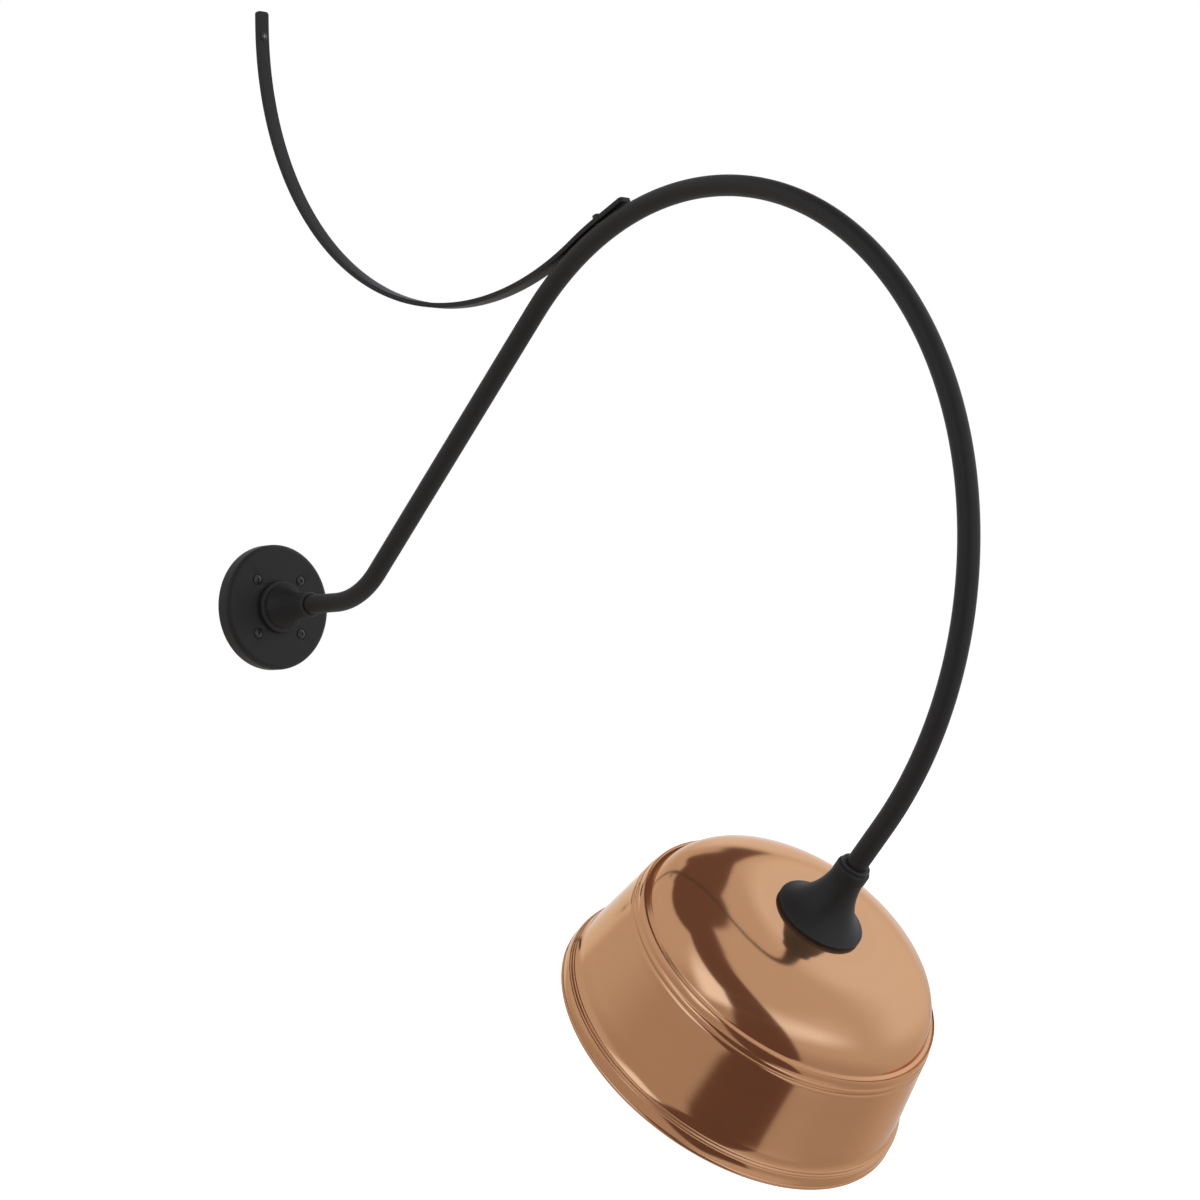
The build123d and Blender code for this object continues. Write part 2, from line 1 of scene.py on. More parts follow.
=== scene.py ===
"""Gooseneck wall sconce: a bent black tube arm on a round wall plate, braced by a flat strap,
carrying a spun copper shade at 45 degrees.

Sizes are kept in metres in the property groups and worked with in millimetres. Every piece lies in
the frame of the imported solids: the origin is the centre of the wall plate on the wall, +X points out
of the wall and +Z up.
"""
from functools import wraps
from math import acos, atan2, ceil, cos, pi, radians, sin, sqrt, tan
from types import SimpleNamespace

import bmesh
import bpy
from bpy.props import FloatProperty, FloatVectorProperty, IntProperty, PointerProperty
from mathutils import Matrix, Vector


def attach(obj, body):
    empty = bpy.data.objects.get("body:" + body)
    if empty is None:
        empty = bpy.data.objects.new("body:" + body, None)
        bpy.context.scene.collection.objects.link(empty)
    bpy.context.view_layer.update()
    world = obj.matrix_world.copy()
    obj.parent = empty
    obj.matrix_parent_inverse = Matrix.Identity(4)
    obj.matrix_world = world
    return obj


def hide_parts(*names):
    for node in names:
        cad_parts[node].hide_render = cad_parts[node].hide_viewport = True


bl_info = {
    "name": "Gooseneck wall sconce",
    "version": (1, 0, 0),
    "blender": (4, 5, 0),
    "location": "3D View > Sidebar > Sconce",
    "description": "Bends, turns and finishes a gooseneck wall sconce with a spun copper shade",
    "category": "Add Mesh",
}

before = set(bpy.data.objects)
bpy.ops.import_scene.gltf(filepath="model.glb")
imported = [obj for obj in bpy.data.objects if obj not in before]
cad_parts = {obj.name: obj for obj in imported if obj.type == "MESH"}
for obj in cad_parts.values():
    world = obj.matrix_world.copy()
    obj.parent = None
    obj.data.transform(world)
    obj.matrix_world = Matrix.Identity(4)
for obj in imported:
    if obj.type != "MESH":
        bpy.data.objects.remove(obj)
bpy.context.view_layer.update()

MM = 0.001
FIXED = "fixture"       # the body that stays on the wall
LAMP = "lamp"           # the body of the lamp, which comes out of its holder
GROUPS = ("arm", "plate", "shade", "lamp", "finish", "stage")

# Lengths in millimetres, and angles, that have no setting of their own.
NIPPLE_HOLE_R = 10.7    # hole in the plate's face behind the hub
BOSS_R = 7.0            # round boss behind each wall screw's seat
EARTH_SCREW_DROP = 44.0     # earth screw below the plate's centre
BRACE_SCREW_R = 2.1     # shank of the strap's two screws
STRAP_EDGE = 0.45       # rounding along the strap
RUB_RADIUS = 0.9        # an edge rounded to this radius or less is rubbed in full
KNOT_TURN = radians(15)     # largest turn from knot to knot of a bent tube's line
KNOT_SHORT = 0.000001   # a knot keeps this far inside the run that it ends
TUBE_STEP = 3.4         # from ring to ring along the tube
STRAP_STEP = 4.0        # from section to section along the strap
WIRE_STEP = 0.8         # from ring to ring along the lamp's leads and supports
DOME_SIDE = radians(76)     # slope of the dome where it meets the shoulder beads
GLASS_SIDE = radians(32)    # how far past its widest ring the lamp's glass stays round
BEVEL_FROM = radians(50)    # edges sharper than this get a small bevel
PLATE_SHARP = radians(32)   # edges of the plate sharper than this stay sharp in its smooth shading

# Sizes that are no part of the sconce, in metres unless said otherwise.
ORIGIN = (0.0, 0.0, 0.0)
SEAM_GAP = 0.000003     # points nearer than this are joined where a turned piece closes
FLOOR_HALF = 300.0
VIEW_POINT = (2.7842, -2.0749, -0.1730)
SENSOR_WIDTH = 36       # millimetres
NODE_COLUMNS, NODE_WIDTH, NODE_HEIGHT = 12, 200, 220    # how a tree's nodes are laid out


# ---- settings ------------------------------------------------------------------------------
def length(name, description, millimetres):
    """A length, given here in millimetres and kept in metres."""
    return FloatProperty(
        name=name, description=description, default=millimetres * MM, unit="LENGTH", precision=5)


def angle(name, description, turn):
    """An angle, given here in degrees and kept in radians."""
    return FloatProperty(name=name, description=description, default=radians(turn), subtype="ANGLE")


def share(name, description, value):
    return FloatProperty(name=name, description=description, default=value, min=0, max=1, subtype="FACTOR")


def count(name, description, value):
    return IntProperty(name=name, description=description, default=value, min=3)


def colour(name, description, value):
    return FloatVectorProperty(
        name=name, description=description, default=value, size=3, min=0, max=1, subtype="COLOR")


class SconceArmSettings(bpy.types.PropertyGroup):
    """The bent tube and the flat strap that braces it"""

    tube_d: length("Tube diameter", "Outside of the round tube", 19.05)
    tube_wall: length("Tube wall", "Thickness of the tube's wall", 1.65)
    start: length("Start", "Distance of the tube's upper end from the wall, inside the hub", 35.0)
    lead: length("Lead", "Distance from the wall to the first bend", 111.5)
    rise_r: length("Rise radius", "First bend, up from level", 95.0)
    rise: angle("Rise", "Turn of the first bend", 43.4)
    rake: length("Rake", "Straight sloping run", 332.7)
    crown_r: length("Crown radius", "Large bend over the top", 313.4)
    crown: angle("Crown", "Turn of the large bend", 128.8)
    tail_r: length("Tail radius", "Gentler bend down and back to the wall", 348.6)
    tail: angle("Tail", "Turn of the gentler bend", 49.6)
    stub: length("Stub", "Straight run down to the fitter", 44.8)
    in_fitter: length("In the fitter", "Hidden length of the tube inside the fitter", 25.0)
    sides: count("Sides", "Faces round the tube", 56)
    strap_w: length("Strap width", "Width of the flat bar", 14.3)
    strap_t: length("Strap thickness", "Thickness of the flat bar", 4.76)
    strap_bend_r: length("Strap bend radius", "Bend of the strap's middle line", 322.5)
    strap_top: length("Strap top", "Height of the strap's upper end over the plate's centre", 612.0)
    strap_tail: length("Strap tail", "Straight run past the arm screw", 41.0)
    strap_corner_r: length("Strap corner", "Rounding of the strap's corners", 3.2)
    brace_slope: angle("Brace slope", "Slope of the arm where the strap is screwed to it", 22.7)
    brace_wall_z: length("Brace screw height", "Height of the strap's wall screw", 586.0)
    brace_grip: length("Brace screw grip", "Length of that screw behind the wall's face", 5.5)


class SconcePlateSettings(bpy.types.PropertyGroup):
    """The wall plate, its screws and the hub"""

    plate_r: length("Plate radius", "Outside of the wall plate", 63.5)
    depth: length("Plate depth", "From the wall to the plate's face", 17.8)
    edge_r: length("Edge rounding", "Rounding of the plate's front edge", 5.8)
    wall: length("Plate wall", "Thickness of the plate's metal", 3.0)
    seal_t: length("Seal", "Thickness of the seal behind the plate", 1.5)
    screw_pcd: length("Screw circle", "Diameter of the circle of the wall screws", 76.2)
    screw_count: count("Wall screws", "Number of screws through the plate", 4)
    screw_r: length("Shank radius", "Radius of a wall screw's shank", 2.1)
    head_r: length("Head radius", "Radius of a wall screw's head", 4.7)
    head_h: length("Head height", "Height of a wall screw's head", 2.9)
    sink: length("Head sink", "Depth of the recess round each head", 1.0)
    grip: length("Grip", "Length of every wall screw behind the wall's face", 30.0)
    hub_base_r: length("Hub base", "Radius of the hub's base ring", 26.5)
    hub_length: length("Hub length", "From the plate's face to the hub's end", 52.7)
    hub_end_r: length("Hub end", "Radius of the hub's narrow end round the tube", 12.4)
    segments: count("Segments", "Faces round a turned piece", 160)


class SconceShadeSettings(bpy.types.PropertyGroup):
    """The spun shade and the bell of its fitter"""

    lean: angle("Lean", "Tilt of the lamp axis from upright", 45.0)
    height: length("Shade height", "From the rim to the top", 158.8)
    sheet: length("Sheet", "Thickness of the spun sheet", 1.2)
    rim_r: length("Rim radius", "Outside of the rim band", 164.1)
    skirt_low_r: length("Skirt radius", "Cone above the rim beads", 157.5)
    bead_base: length("Shoulder", "Height of the shoulder beads", 95.0)
    dome_flat_r: length("Dome flat", "Radius of the dome's flat top", 56.5)
    dome_r: length("Dome radius", "Large arc of the dome", 101.5)
    knee_r: length("Knee radius", "Small arc at the dome's edge", 49.0)
    knee: angle("Knee", "Slope where the dome's two arcs meet", 37.4)
    fitter_height: length("Fitter height", "From the shade's top to where the tube shows", 63.7)
    bell_r: length("Bell radius", "Outside of the bell's lip", 39.9)
    collar_r: length("Collar radius", "Radius of the fitter's collar round the tube", 15.3)
    collar_length: length("Collar length", "Length of the fitter's collar", 11.0)
    segments: count("Segments", "Faces round the shade", 288)


class SconceLampSettings(bpy.types.PropertyGroup):
    """The lampholder and the lamp"""

    nipple_r: length("Nipple radius", "Threaded pipe that carries shade and holder", 5.1)
    body_r: length("Holder radius", "Radius of the ceramic barrel", 19.4)
    shell_r: length("Shell radius", "Outside of the screw shell", 13.9)
    shell_t: length("Shell thickness", "Sheet of the screw shell", 0.45)
    pitch: length("Thread pitch", "Pitch of the rolled lamp thread", 3.63)
    bulb_length: length("Lamp length", "From the end contact to the glass's tip", 106.0)
    bulb_r: length("Lamp radius", "Radius of the glass", 30.0)
    glass_t: length("Glass", "Thickness of the glass", 0.8)
    coil_turns: count("Coil turns", "Turns of the filament's coil", 64)


class SconceFinishSettings(bpy.types.PropertyGroup):
    """Colours and surface of the finishes"""

    black: colour("Black coat", "Powder coat of arm, strap, plate and fitter", (0.0205, 0.0192, 0.0182))
    black_rough: share("Black roughness", "Roughness of the powder coat", 0.54)
    copper: colour("Copper", "Lacquered copper of the shade", (0.62, 0.33, 0.176))
    copper_rough: share("Copper roughness", "Roughness of the spun copper", 0.12)
    steel: colour("Zinc", "Zinc-plated steel", (0.55, 0.54, 0.50))
    ceramic: colour("Ceramic", "Glazed ceramic", (0.83, 0.81, 0.76))
    brass: colour("Brass", "Sprung contact", (0.72, 0.52, 0.24))
    nickel: colour("Nickel", "Screw shell and lamp cap", (0.62, 0.59, 0.54))
    orange_peel: length("Orange peel", "Distance between the coat's low waves", 1.6)
    spin_pitch: length("Spin lines", "Distance between the spinning tool's lines", 1.1)


class SconceStageSettings(bpy.types.PropertyGroup):
    """Floor, camera and studio"""

    floor_drop: length("Floor", "Distance of the floor below the plate's centre", 1150.0)
    azimuth: angle("Camera azimuth", "Turn of the view from the wall's plane", 47.74)
    pitch: angle("Camera pitch", "Tilt of the view above level", 2.89)
    roll: angle("Camera roll", "Roll of the view", -1.11)
    lens: FloatProperty(name="Lens", description="Focal length on a 36 mm sensor", default=102.07)
    studio: FloatProperty(name="Studio", description="Strength of the studio's light", default=1.0, min=0)


class SconceSettings(bpy.types.PropertyGroup):
    """All settings of the sconce"""

    arm: PointerProperty(type=SconceArmSettings)
    plate: PointerProperty(type=SconcePlateSettings)
    shade: PointerProperty(type=SconceShadeSettings)
    lamp: PointerProperty(type=SconceLampSettings)
    finish: PointerProperty(type=SconceFinishSettings)
    stage: PointerProperty(type=SconceStageSettings)


def own_properties(group):
    """The properties that a group adds to those of every group."""
    return [prop for prop in group.bl_rna.properties if prop.identifier not in ("rna_type", "name")]


def sizes(group):
    """A group's values as plain numbers: lengths in millimetres, angles in radians."""
    found = SimpleNamespace()
    for prop in own_properties(group):
        value = getattr(group, prop.identifier)
        if getattr(prop, "unit", "") == "LENGTH":
            value /= MM
        setattr(found, prop.identifier, value)
    return found


def settings():
    """The scene's settings, group by group."""
    kept = bpy.context.scene.sconce
    return SimpleNamespace(**{name: sizes(getattr(kept, name)) for name in GROUPS})


# ---- paths and outlines, in millimetres -----------------------------------------------------
class Path:
    """A way of straights and bends in the plane Y = 0."""

    ROUNDING = 1e-9     # a distance this little short of a run's start counts as on it

    def __init__(self, x, z, heading):
        self.x, self.z, self.heading = x, z, heading
        self.runs = []
        self.length = 0.0

    def straight(self, run):
        self.runs.append((self.length, self.x, self.z, self.heading, run, 0.0))
        self.x += run * cos(self.heading)
        self.z += run * sin(self.heading)
        self.length += run

    def bend(self, radius, turn):
        """Positive turns lead from +X towards +Z. Gives the bend's centre."""
        side = 1 if turn > 0 else -1
        h = self.heading
        centre = (self.x - side * radius * sin(h), self.z + side * radius * cos(h))
        run = radius * abs(turn)
        self.runs.append((self.length, self.x, self.z, h, run, side / radius))
        self.heading += turn
        self.x = centre[0] + side * radius * sin(self.heading)
        self.z = centre[1] - side * radius * cos(self.heading)
        self.length += run
        return centre

    def at(self, distance):
        """Place and heading at this distance along the path."""
        begun, x, z, h, run, curl = [r for r in self.runs if r[0] <= distance + self.ROUNDING][-1]
        d = min(distance - begun, run)
        if curl == 0:
            return x + d * cos(h), z + d * sin(h), h
        return x + (sin(h + d * curl) - sin(h)) / curl, z - (cos(h + d * curl) - cos(h)) / curl, h + d * curl


def arm_path(arm):
    """The arm's middle line, with the crown bend's centre."""
    path = Path(arm.start, 0, 0)
    path.straight(arm.lead - arm.start)
    path.bend(arm.rise_r, arm.rise)
    path.straight(arm.rake)
    crown_centre = path.bend(arm.crown_r, -arm.crown)
    path.bend(arm.tail_r, -arm.tail)
    path.straight(arm.stub)
    return path, crown_centre


def strap_path(arm):
    """The strap's middle line: down the wall, round to the arm, along its top and straight off."""
    path, (crown_x, crown_z) = arm_path(arm)
    reach = arm.strap_bend_r + arm.strap_t / 2 + arm.crown_r + arm.tube_d / 2
    across = crown_x - arm.strap_t / 2 - arm.strap_bend_r
    centre_z = crown_z + sqrt(reach ** 2 - across ** 2)
    touch = atan2(across, centre_z - crown_z)
    strap = Path(arm.strap_t / 2, arm.strap_top, -pi / 2)
    strap.straight(arm.strap_top - centre_z)
    strap.bend(arm.strap_bend_r, pi / 2 + touch)
    strap.bend(arm.crown_r + arm.tube_d / 2 + arm.strap_t / 2, arm.brace_slope - touch)
    strap.straight(arm.strap_tail)
    return strap


def rim_centre(now):
    """Middle of the shade's rim plane, where heights on the lamp axis are counted from."""
    path, _ = arm_path(now.arm)
    reach = now.shade.height + now.shade.fitter_height
    return Vector((path.x - reach * sin(now.shade.lean), 0, path.z - reach * cos(now.shade.lean))) * MM


def brace_seat(arm, height):
    """Place on the arm's top at the strap's screw, this far above the tube's surface."""
    _, (crown_x, crown_z) = arm_path(arm)
    reach = arm.crown_r + arm.tube_d / 2 + height
    return Vector((crown_x - reach * sin(arm.brace_slope), 0, crown_z + reach * cos(arm.brace_slope))) * MM


class Outline:
    """Half section of a turned piece: points of radius and height, in millimetres."""

    ARC_STEP = radians(5)       # largest turn from point to point where an arc's steps aren't given
    LEAST_CORNER = radians(14)  # a smaller turn is part of a curve and isn't rounded
    LEG_SHARE = 0.3             # a rounding takes up no more than this share of either side
    HOLD = 1.8                  # the close line beside a rounding, in roundings from the corner
    FLAT = 1e-7                 # an arc that rises less than this is a straight line
    JOINED = 1e-6               # points nearer than this are the same point

    def __init__(self, r, z):
        self.points = [Vector((r, z))]
        self.way = None

    def to(self, *corners):
        """Straight lines through the corners."""
        for corner in corners:
            here = Vector(corner)
            self.way = (here - self.points[-1]).normalized()
            self.points.append(here)
        return self

    def fine(self, r, z, step=0.3):
        """Straight line in short steps, for a surface that gets a thread."""
        a, b = self.points[-1], Vector((r, z))
        steps = max(1, ceil((b - a).length / step))
        self.points += [a.lerp(b, i / steps) for i in range(1, steps + 1)]
        self.way = (b - a).normalized()
        return self

    def about(self, centre, turn, steps=None):
        """Arc about a centre through this turn."""
        centre = Vector(centre)
        arm = self.points[-1] - centre
        steps = steps or max(3, ceil(abs(turn) / self.ARC_STEP))
        for i in range(1, steps + 1):
            self.points.append(centre + Matrix.Rotation(turn * i / steps, 2) @ arm)
        last = Matrix.Rotation(turn, 2) @ arm
        self.way = Vector((-last.y, last.x)).normalized() * (1 if turn > 0 else -1)
        return self

    def bend(self, r, z, way=None, steps=None):
        """Arc that leaves in the present direction, or another, and ends at the point."""
        way = Vector(way).normalized() if way else self.way
        start = self.points[-1]
        chord = Vector((r, z)) - start
        side = Vector((-way.y, way.x))
        if abs(chord.dot(side)) < self.FLAT:
            return self.to((r, z))
        radius = chord.length_squared / (2 * chord.dot(side))
        centre = start + side * radius
        turn = 2 * atan2(chord.dot(side), chord.dot(way))
        return self.about(centre, turn, steps)

    def through(self, middle, end, steps=None):
        """Arc through a middle point."""
        a, b, c = self.points[-1], Vector(middle), Vector(end)
        d = 2 * (a.x * (b.y - c.y) + b.x * (c.y - a.y) + c.x * (a.y - b.y))
        aa, bb, cc = a.length_squared, b.length_squared, c.length_squared
        centre = Vector((
            (aa * (b.y - c.y) + bb * (c.y - a.y) + cc * (a.y - b.y)) / d,
            (aa * (c.x - b.x) + bb * (a.x - c.x) + cc * (b.x - a.x)) / d))
        one, other = a - centre, c - centre
        turn = atan2(one.x * other.y - one.y * other.x, one.dot(other))
        ccw = (b - a).x * (c - b).y - (b - a).y * (c - b).x > 0
        if ccw and turn < 0:
            turn += 2 * pi
        if not ccw and turn > 0:
            turn -= 2 * pi
        return self.about(centre, turn, steps)

    def softened(self, size, closed):
        """Points with every sharp corner rounded, and close lines beside it to hold the flats flat."""
        pts = self.points
        if closed and (pts[0] - pts[-1]).length < self.JOINED:
            pts = pts[:-1]
        made = []
        n = len(pts)
        for i, here in enumerate(pts):
            if not closed and i in (0, n - 1):
                made.append(here)
                continue
            back, on = pts[i - 1] - here, pts[(i + 1) % n] - here
            leg = min(size, self.LEG_SHARE * back.length, self.LEG_SHARE * on.length)
            back, on = back.normalized(), on.normalized()
            if acos(max(-1, min(1, -back.dot(on)))) < self.LEAST_CORNER:
                made.append(here)
                continue
            a, b = here + back * leg, here + on * leg
            rounded = [a.lerp(here, t).lerp(here.lerp(b, t), t) for t in (0, 0.25, 0.5, 0.75, 1)]
            if leg == size:
                rounded = [here + back * leg * self.HOLD, *rounded, here + on * leg * self.HOLD]
            made += rounded
        if closed:
            made.append(made[0])
        return made


# ---- small helpers for meshes and nodes -------------------------------------------------------
def put_in_scene(name, data):
    thing = bpy.data.objects.new(name, data)
    bpy.context.scene.collection.objects.link(thing)
    return thing


class Wire:
    """A node's output. Arithmetic on it adds Math nodes."""

    def __init__(self, tree, socket):
        self.tree, self.socket = tree, socket

    def of(self, key):
        """Another output of the same node."""
        return Wire(self.tree, self.socket.node.outputs[key])

    def maths(self, operation, *others, clamp=False):
        return add(self.tree, "ShaderNodeMath", dict(enumerate((self, *others))), operation=operation,
                   use_clamp=clamp)

    def __add__(self, other):
        return self.maths("ADD", other)

    def __sub__(self, other):
        return self.maths("SUBTRACT", other)

    def __rsub__(self, other):
        return add(self.tree, "ShaderNodeMath", {0: other, 1: self}, operation="SUBTRACT")

    def __mul__(self, other):
        return self.maths("MULTIPLY", other)

    def __truediv__(self, other):
        return self.maths("DIVIDE", other)

    def __rtruediv__(self, other):
        return add(self.tree, "ShaderNodeMath", {0: other, 1: self}, operation="DIVIDE")


def add(tree, kind, values=None, out=0, **choices):
    """A node with its choices made and its inputs set or linked. Gives one of its outputs."""
    node = tree.nodes.new(kind)
    for key, value in choices.items():
        setattr(node, key, value)
    for key, value in (values or {}).items():
        if isinstance(value, Wire):
            tree.links.new(value.socket, node.inputs[key])
        else:
            node.inputs[key].default_value = value
    row, column = divmod(len(tree.nodes), NODE_COLUMNS)
    node.location = (NODE_WIDTH * column, -NODE_HEIGHT * row)
    return Wire(tree, node.outputs[out]) if node.outputs else node


def split(vector):
    """The three parts of a vector."""
    first = add(vector.tree, "ShaderNodeSeparateXYZ", {0: vector})
    return [first.of(i) for i in range(3)]


def join(tree, x, y, z):
    return add(tree, "ShaderNodeCombineXYZ", {0: x, 1: y, 2: z})


def noise(vector, scale, detail, rough=0.5, dimensions="3D"):
    return add(vector.tree, "ShaderNodeTexNoise", {
        "Vector": vector, "Scale": scale, "Detail": detail, "Roughness": rough}, noise_dimensions=dimensions)


def blend(tree, part, one, other):
    """Colour between two others."""
    return add(tree, "ShaderNodeMix", {0: part, 6: one, 7: other}, out=2, data_type="RGBA")


def made_once(library, name):
    """Builds a node group or a material at its first use, and finds it by its name after that."""
    def wrap(build):
        @wraps(build)
        def find(*sizes):
            store = getattr(bpy.data, library)
            return store[name] if name in store else build(name, *sizes)
        return find
    return wrap


def new_group(kind, name, inputs, outputs):
    """A node group with named sockets. Gives its tree, its inputs by name, and what fills its outputs."""
    tree = bpy.data.node_groups.new(name, kind)
    for socket_kind, socket_name, default in inputs:
        socket = tree.interface.new_socket(socket_name, in_out="INPUT", socket_type=socket_kind)
        if default is not None:
            socket.default_value = default
    for socket_kind, socket_name in outputs:
        tree.interface.new_socket(socket_name, in_out="OUTPUT", socket_type=socket_kind)
    entry = tree.nodes.new("NodeGroupInput")
    leave = tree.nodes.new("NodeGroupOutput")
    leave.location = (NODE_WIDTH * (NODE_COLUMNS + 1), 0)

    def give(**results):
        for key, wire in results.items():
            tree.links.new(wire.socket, leave.inputs[key])

    return tree, {s.name: Wire(tree, s) for s in entry.outputs if s.name}, give


FLOAT, INTEGER, VECTOR, COLOUR = "NodeSocketFloat", "NodeSocketInt", "NodeSocketVector", "NodeSocketColor"
GEOMETRY, MATERIAL, BOOLEAN = "NodeSocketGeometry", "NodeSocketMaterial", "NodeSocketBool"


def new_shape(name, *inputs):
    """A Geometry Nodes tree that also takes a place, a turn and a material."""
    return new_group("GeometryNodeTree", name, [
        (GEOMETRY, "Geometry", None), *inputs, (VECTOR, "Place", None), (VECTOR, "Turn", None),
        (MATERIAL, "Material", None)], [(GEOMETRY, "Geometry")])


def place_and_paint(geometry, given, give):
    """The last nodes of every shape tree: into place, real, and with its material."""
    tree = geometry.tree
    placed = add(tree, "GeometryNodeTransform", {
        "Geometry": geometry, "Translation": given["Place"], "Rotation": given["Turn"]})
    real = add(tree, "GeometryNodeRealizeInstances", {"Geometry": placed})
    give(Geometry=add(tree, "GeometryNodeSetMaterial", {"Geometry": real, "Material": given["Material"]}))


def smoothed(geometry):
    return add(geometry.tree, "GeometryNodeSetShadeSmooth", {"Geometry": geometry})


def stored(geometry, name, value):
    """Keeps a number on every point."""
    return add(geometry.tree, "GeometryNodeStoreNamedAttribute", {
        "Geometry": geometry, "Name": name, "Value": value}, data_type="FLOAT", domain="POINT")


def recalled(tree, name):
    return add(tree, "GeometryNodeInputNamedAttribute", {"Name": name}, data_type="FLOAT")


@made_once("node_groups", "Turned piece")
def turning_tree(name):
    """Turns an outline of (radius, height) points about the height axis, with a rolled thread if asked."""
    tree, given, give = new_shape(
        name, (INTEGER, "Segments", 160), (FLOAT, "Thread Pitch", 0.00363), (FLOAT, "Thread Depth", 0.0),
        (FLOAT, "Thread Low", 0.0), (FLOAT, "Thread High", 1.0))
    outline, segments, pitch = given["Geometry"], given["Segments"], given["Thread Pitch"]
    across = segments + 1
    grid = add(tree, "GeometryNodeMeshGrid", {
        "Size X": 1.0, "Size Y": 1.0, "Vertices Y": across,
        "Vertices X": add(tree, "GeometryNodeAttributeDomainSize", {0: outline}, component="MESH")})
    index = add(tree, "GeometryNodeInputIndex")
    along = ((index + 0.5) / across).maths("FLOOR")
    turn = index.maths("MODULO", across) / segments * (2 * pi)

    def of_outline(value, data_type):
        return add(tree, "GeometryNodeSampleIndex", {"Geometry": outline, "Value": value, "Index": along},
                   data_type=data_type, domain="POINT")

    radius, height, _ = split(of_outline(add(tree, "GeometryNodeInputPosition"), "FLOAT_VECTOR"))
    fade_in = (height - given["Thread Low"]).maths("DIVIDE", pitch, clamp=True)
    fade_out = (given["Thread High"] - height).maths("DIVIDE", pitch, clamp=True)
    wave = (1.0 - (height / pitch * (2 * pi) + turn).maths("COSINE")) * 0.5
    radius = radius - wave * given["Thread Depth"] * (fade_in * fade_out)
    spot = join(tree, radius * turn.maths("COSINE"), radius * turn.maths("SINE"), height)
    rubbed = stored(grid, "rub", of_outline(recalled(tree, "rub"), "FLOAT"))
    moved = add(tree, "GeometryNodeSetPosition", {"Geometry": rubbed, "Position": spot})
    closed = add(tree, "GeometryNodeMergeByDistance", {"Geometry": moved, "Distance": SEAM_GAP})
    place_and_paint(smoothed(closed), given, give)
    return tree


@made_once("node_groups", "Bent tube")
def tube_tree(name):
    """A round bar or tube wall along a curve."""
    tree, given, give = new_shape(
        name, (FLOAT, "Radius", 0.0095), (INTEGER, "Sides", 48), (FLOAT, "Step", 0.003),
        (BOOLEAN, "Closed Ends", False))
    stepped = add(tree, "GeometryNodeResampleCurve", {"Curve": given["Geometry"], "Length": given["Step"]},
                  mode="LENGTH")
    section = add(tree, "GeometryNodeCurvePrimitiveCircle", {
        "Resolution": given["Sides"], "Radius": given["Radius"]})
    swept = add(tree, "GeometryNodeCurveToMesh", {
        "Curve": stepped, "Profile Curve": section, "Fill Caps": given["Closed Ends"]})
    place_and_paint(smoothed(swept), given, give)
    return tree


@made_once("node_groups", "Flat bar")
def flat_bar_tree(name):
    """A flat bar along a curve, with rounded edges and rounded corners at both ends."""
    tree, given, give = new_shape(
        name, (FLOAT, "Width", 0.0143), (FLOAT, "Thickness", 0.0032), (FLOAT, "Edge", 0.0005),
        (FLOAT, "Corner", 0.0032))
    corner, half = given["Corner"], given["Width"] * 0.5
    walked = add(tree, "GeometryNodeSplineParameter", out="Length")
    whole = add(tree, "GeometryNodeSplineLength")
    marked = stored(given["Geometry"], "from_end", walked.maths("MINIMUM", whole - walked))
    level = add(tree, "GeometryNodeSetCurveNormal", {"Curve": marked, "Normal": (0, 1, 0)}, mode="FREE")
    section = add(tree, "GeometryNodeCurvePrimitiveQuadrilateral", {0: given["Width"], 1: given["Thickness"]})
    rounded = add(tree, "GeometryNodeFilletCurve", {"Curve": section, "Radius": given["Edge"], "Count": 4},
                  mode="POLY")
    swept = add(tree, "GeometryNodeCurveToMesh", {"Curve": level, "Profile Curve": rounded, "Fill Caps": True})
    x, y, z = split(add(tree, "GeometryNodeInputPosition"))
    short = corner - recalled(tree, "from_end").maths("MINIMUM", corner)
    limit = half - corner + (corner * corner - short * short).maths("MAXIMUM", 0.0).maths("SQRT")
    spot = join(tree, x, y * (limit / half).maths("MINIMUM", 1.0), z)
    narrowed = add(tree, "GeometryNodeSetPosition", {"Geometry": swept, "Position": spot})
    place_and_paint(smoothed(narrowed), given, give)
    return tree


@made_once("node_groups", "Pieces on a circle")
def circle_tree(name):
    """Copies of a small piece on a circle about the height axis, each turned a little at random."""
    tree, given, give = new_shape(
        name, (INTEGER, "Count", 4), (FLOAT, "Circle Radius", 0.0381), (FLOAT, "First", 0.7854),
        (FLOAT, "Loose", 1.0), (INTEGER, "Seed", 4))
    spots = add(tree, "GeometryNodeMeshCircle", {"Vertices": given["Count"], "Radius": given["Circle Radius"]})
    turned_spots = add(tree, "GeometryNodeTransform", {
        "Geometry": spots, "Rotation": join(tree, 0.0, 0.0, given["First"])})
    loose = add(tree, "FunctionNodeRandomValue", {2: 0.0, 3: given["Loose"], "Seed": given["Seed"]}, out=1,
                data_type="FLOAT")
    copies = add(tree, "GeometryNodeInstanceOnPoints", {
        "Points": turned_spots, "Instance": given["Geometry"], "Rotation": join(tree, 0.0, 0.0, loose)})
    place_and_paint(copies, given, give)
    return tree


